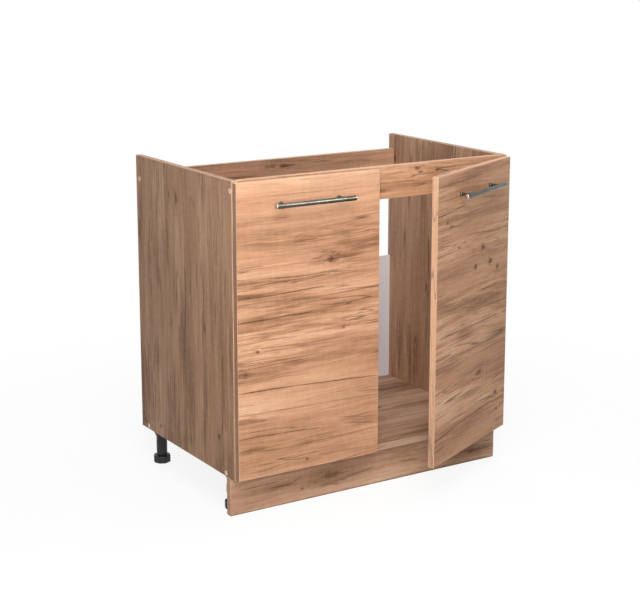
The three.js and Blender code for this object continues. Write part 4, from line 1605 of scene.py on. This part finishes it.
    def foot(self, space: Box) -> Form:
        """Lobed grip disc and threaded stem in one closed loft, from the floor at z = 0.

        Args:
            space: the foot node's space.

        Returns:
            The foot.
        """
        radius, by, top, end = space.size.x / 2, self.foot_rounding, self.foot_height, space.size.z
        waves = [0.5 - 0.5 * math.cos(self.lobes * a) for a in turns()]
        grip = arc((radius - by, by), by, 270, 360, 5) + arc((radius - by, top - by), by, 0, 90, 5)
        recess = [(r, top + z) for r, z in self.recess]
        neck = (self.stem_radius, recess[-1][1])
        rings = [ring(self.hollow[0][1], [0.0]), *[ring(z, [r] * TURN_SIDES) for r, z in self.hollow],
                 *[ring(z, [r - self.lobe_depth * wave for wave in waves]) for r, z in grip],
                 *[ring(z, [r] * TURN_SIDES) for r, z in (*recess, neck)]]
        step = self.thread_pitch / self.thread_steps
        count = round((end - top) / step)
        for i in range(1, count + 1):
            height = top + i * step
            fade = min(1.0, i / self.thread_steps, (count - i) / self.thread_steps)
            winds = [(height / self.thread_pitch - a / (2 * math.pi)) % 1 for a in turns()]
            rings.append(ring(height, [self.stem_radius - self.thread_depth * (1 - abs(2 * wind - 1)) * fade
                                       for wind in winds]))
        return Form.lofted([*rings, ring(end, [0.0])])

    def dress(self) -> None:
        """Finishes the leg in black plastic and its screws in zinc."""
        self.paint(f"{self.row}_leg_screw", ZINC, "zinc_steel")
        for part in ("bracket", "tube", "foot"):
            self.paint(f"{self.row}_leg_{part}", BLACK_PLASTIC, "black_plastic")


@dataclass
class PlinthClip(SubAssembly):
    """The clip behind the plinth that snaps round a front leg's tube, open by the mouth's degrees."""

    wall: float = 2.5 * MM
    play: float = 0.3 * MM
    mouth: float = 100.0
    lip: float = 1.1 * MM
    overlap: float = 1.0 * MM
    arm_bite: float = 0.6 * MM
    neck_width: float = 14.0 * MM
    corner: float = 3.0 * MM
    rounding: float = 0.3 * MM
    screw_offset: float = 14.0 * MM

    def build(self) -> None:
        """Makes the clip and its two screws."""
        space, tube = Box.mirrored("plinth_clip"), Box.mirrored("front_leg_tube")
        middle = Vector((tube.centre.x, tube.centre.y, space.low.z))
        inner = tube.size.x / 2 + self.play
        outer, bead = inner + self.wall, (self.wall + self.lip) / 2
        front, height = space.low.y - middle.y, space.size.z
        start, end = 90 + self.mouth / 2, 450 - self.mouth / 2
        band = arc((0.0, 0.0), outer, start, end, 36) + arc((0.0, 0.0), inner, end, start, 36)
        clip = Form.raised(band, 0.0, height)
        for angle in (start, end):
            x, y = arc((0.0, 0.0), (inner + outer + self.lip) / 2, angle, angle)[0]
            clip.joined(Form.rod(bead, 0.0, height, SMALL_SIDES).shifted(x, y))
        base = Form.raised(rounded(space.size.x, height, self.corner), 0.0, self.wall)
        clip.joined(base.rotated(-90, "X").shifted(y=front, z=height / 2))
        for side in (-1, 1):
            near, far = (side * (self.neck_width - self.wall) / 2 + by * self.wall / 2 for by in (-1, 1))
            low, high = front + self.overlap, self.arm_bite - inner
            clip.joined(Form.raised([(near, low), (far, low), (far, high), (near, high)], 0.0, height))
        clip.without(Form.rod(inner, -self.overlap, height + self.overlap))
        self.fit(clip.softened(self.rounding, limit=50), "plinth_clip", middle)
        for side, word in zip((-1, 1), ENDS):
            place = middle + Vector((side * self.screw_offset, front + self.wall, height / 2))
            self.screw(Fastener.CLIP, f"clip_screw_{word}", place, Facing.BACK)

    def dress(self) -> None:
        """Finishes the clip in milky plastic and its screws in zinc."""
        self.paint("plinth_clip", MILKY_PLASTIC, "clear_plastic")
        self.paint("clip_screw", ZINC, "zinc_steel")


class Boards:
    """The carcass boards and the plinth, which are nodes of the model."""

    ARRIS_STEPS = 3

    def dress(self) -> None:
        """Gives each board its own run of oak, and the back its two faces."""
        for name, look in BOARD_LOOKS.items():
            if not name.endswith("_door"):
                finish = OakLaminate(f"oak_{name}", look, tuple(Box.of(name).low))
                dress_node(name, finish, look.arris, self.ARRIS_STEPS)
        dress_node("back_panel", FacedHardboard("faced_hardboard"))


# ---- Studio ----


class LampUse(Enum):
    """What a lamp does: whether it lights surfaces, and whether it shows in their sheen."""

    ALL = (True, True)
    LIGHT = (True, False)
    SHEEN = (False, True)


@dataclass(frozen=True)
class Lamp:
    """A soft lamp that points at the cabinet, square unless it has a height."""

    name: str
    place: Triple
    size: float
    power: float
    colour: Triple = (1.0, 1.0, 1.0)
    height: float = 0.0
    use: LampUse = LampUse.ALL


@dataclass
class Studio:
    """Pale floor, white surroundings, soft lamps and the camera."""

    lamps: tuple[Lamp, ...] = (
        Lamp("low_key_lamp", (-1.15, -1.75, 0.85), 0.6, 22.0, (1.0, 0.985, 0.965)),
        Lamp("high_key_lamp", (-1.2, -1.9, 2.7), 1.8, 69.0),
        Lamp("top_lamp", (0.1, -0.3, 2.7), 1.5, 19.0),
        Lamp("glint_lamp", (0.9, -1.5, 1.75), 0.9, 27.0, (1.0, 0.98, 0.93), 0.8, LampUse.SHEEN),
        Lamp("back_lamp", (1.3, 3.2, 1.6), 1.8, 36.0, use=LampUse.LIGHT),
        Lamp("far_side_lamp", (3.2, 1.1, 1.3), 1.4, 26.0, use=LampUse.LIGHT),
    )
    aim: Triple = (0.0, 0.2, 0.45)
    ambient: Triple = (0.05, 0.051, 0.054)
    floor_size: float = 40.0
    floor_white: float = 0.35
    shadow_share: float = 0.12
    shadow_reach: Pair = (0.6, 1.9)
    camera_place: Triple = (-2.0415, -3.0064, 1.3669)
    camera_yaw: float = 32.294
    camera_pitch: float = -12.048
    camera_lens: float = 85.046
    camera_shift: float = -0.08
    camera_reach: float = 100.0

    def build(self) -> None:
        """Sets up the whole studio."""
        self.lay_floor()
        self.surround()
        for lamp in self.lamps:
            self.hang(lamp)
        self.stand_camera()
        bpy.context.scene.view_settings.view_transform = "Standard"

    @staticmethod
    def bare(holder: Material | World) -> Wiring:
        """The wiring of a material or world, cleared of its first nodes."""
        holder.use_nodes = True
        holder.node_tree.nodes.clear()
        return Wiring(holder.node_tree)

    @staticmethod
    def by_ray(w: Wiring, lit: Signal, seen: Signal) -> Signal:
        """One shader for the light, another for what the camera, a mirror or glass shows.

        Args:
            w: the wiring that the shaders are in.
            lit: the shader that gives the light.
            seen: the shader that is seen.

        Returns:
            The shader of both.
        """
        path = w.add("LightPath")
        rays = [w.signal(path, f"Is {ray} Ray") for ray in ("Camera", "Glossy", "Transmission")]
        return w.get("MixShader", {0: w.most(*rays), 1: lit, 2: seen})

    def lay_floor(self) -> None:
        """A pale floor that melts into the white surroundings away from the cabinet."""
        half = self.floor_size / 2
        mesh = bpy.data.meshes.new("floor")
        mesh.from_pydata([(-half, -half, 0), (half, -half, 0), (half, half, 0), (-half, half, 0)], [],
                         [(0, 1, 2, 3)])
        material = bpy.data.materials.new("pale_floor")
        w = self.bare(material)
        away = w.add("VectorMath", {0: w.signal(w.add("TexCoord"), "Object")}, operation="LENGTH")
        share = w.span(w.signal(away, "Value"), *self.shadow_reach, self.shadow_share, 0.0)
        plain = w.get("BsdfDiffuse", {"Color": (self.floor_white,) * 3 + (1.0,)})
        shadowed = w.get("BsdfDiffuse", {"Color": (1.0, 1.0, 1.0, 1.0)})
        white = w.get("Emission", {"Strength": 1.0})
        shown = w.get("MixShader", {0: share, 1: white, 2: shadowed})
        w.add("OutputMaterial", {"Surface": self.by_ray(w, plain, shown)})
        mesh.materials.append(material)
        stand("floor", mesh)

    def surround(self) -> None:
        """White surroundings for the camera, glossy and glass rays; a quiet ambient light for the rest."""
        world = bpy.data.worlds.new("studio")
        w = self.bare(world)
        quiet, white = (w.get("Background", {"Color": (*colour, 1.0), "Strength": 1.0})
                        for colour in (self.ambient, (1.0, 1.0, 1.0)))
        w.add("OutputWorld", {"Surface": self.by_ray(w, quiet, white)})
        bpy.context.scene.world = world

    @staticmethod
    def point(thing: Object, place: Triple, ahead: Vector) -> None:
        """Stands a lamp or the camera in its place and turns it to look ahead."""
        thing.location = place
        thing.rotation_euler = ahead.to_track_quat("-Z", "Y").to_euler()

    def hang(self, lamp: Lamp) -> None:
        """Hangs one lamp, out of the camera's sight."""
        light = bpy.data.lights.new(lamp.name, "AREA")
        light.shape = "RECTANGLE"
        light.size = lamp.size
        light.size_y = lamp.height or lamp.size
        light.energy = lamp.power
        light.color = lamp.colour
        thing = stand(lamp.name, light)
        self.point(thing, lamp.place, Vector(self.aim) - Vector(lamp.place))
        thing.visible_camera = False
        thing.visible_diffuse, thing.visible_glossy = lamp.use.value

    def stand_camera(self) -> None:
        """Stands the camera at the photograph's angle."""
        camera = bpy.data.cameras.new("camera")
        camera.lens = self.camera_lens
        camera.shift_y = self.camera_shift
        camera.clip_end = self.camera_reach
        yaw, pitch = math.radians(self.camera_yaw), math.radians(self.camera_pitch)
        ahead = Vector((math.sin(yaw) * math.cos(pitch), math.cos(yaw) * math.cos(pitch), math.sin(pitch)))
        thing = stand("camera", camera)
        self.point(thing, self.camera_place, ahead)
        bpy.context.scene.camera = thing


def main() -> None:
    """Builds the studio, then the cabinet's pieces."""
    logging.basicConfig(level=logging.INFO, format="%(name)s: %(message)s")
    Studio().build()
    Boards().dress()
    for hand in Hand:
        parts: list[SubAssembly] = [Door(hand), BarHandle(hand), HingeMounts(hand), SideFittings(hand),
                                    Leg(hand, row="front"), Leg(hand, row="back"), PlinthClip(hand)]
        for part in parts:
            part.build()
            part.dress()


if __name__ == "__main__":
    main()
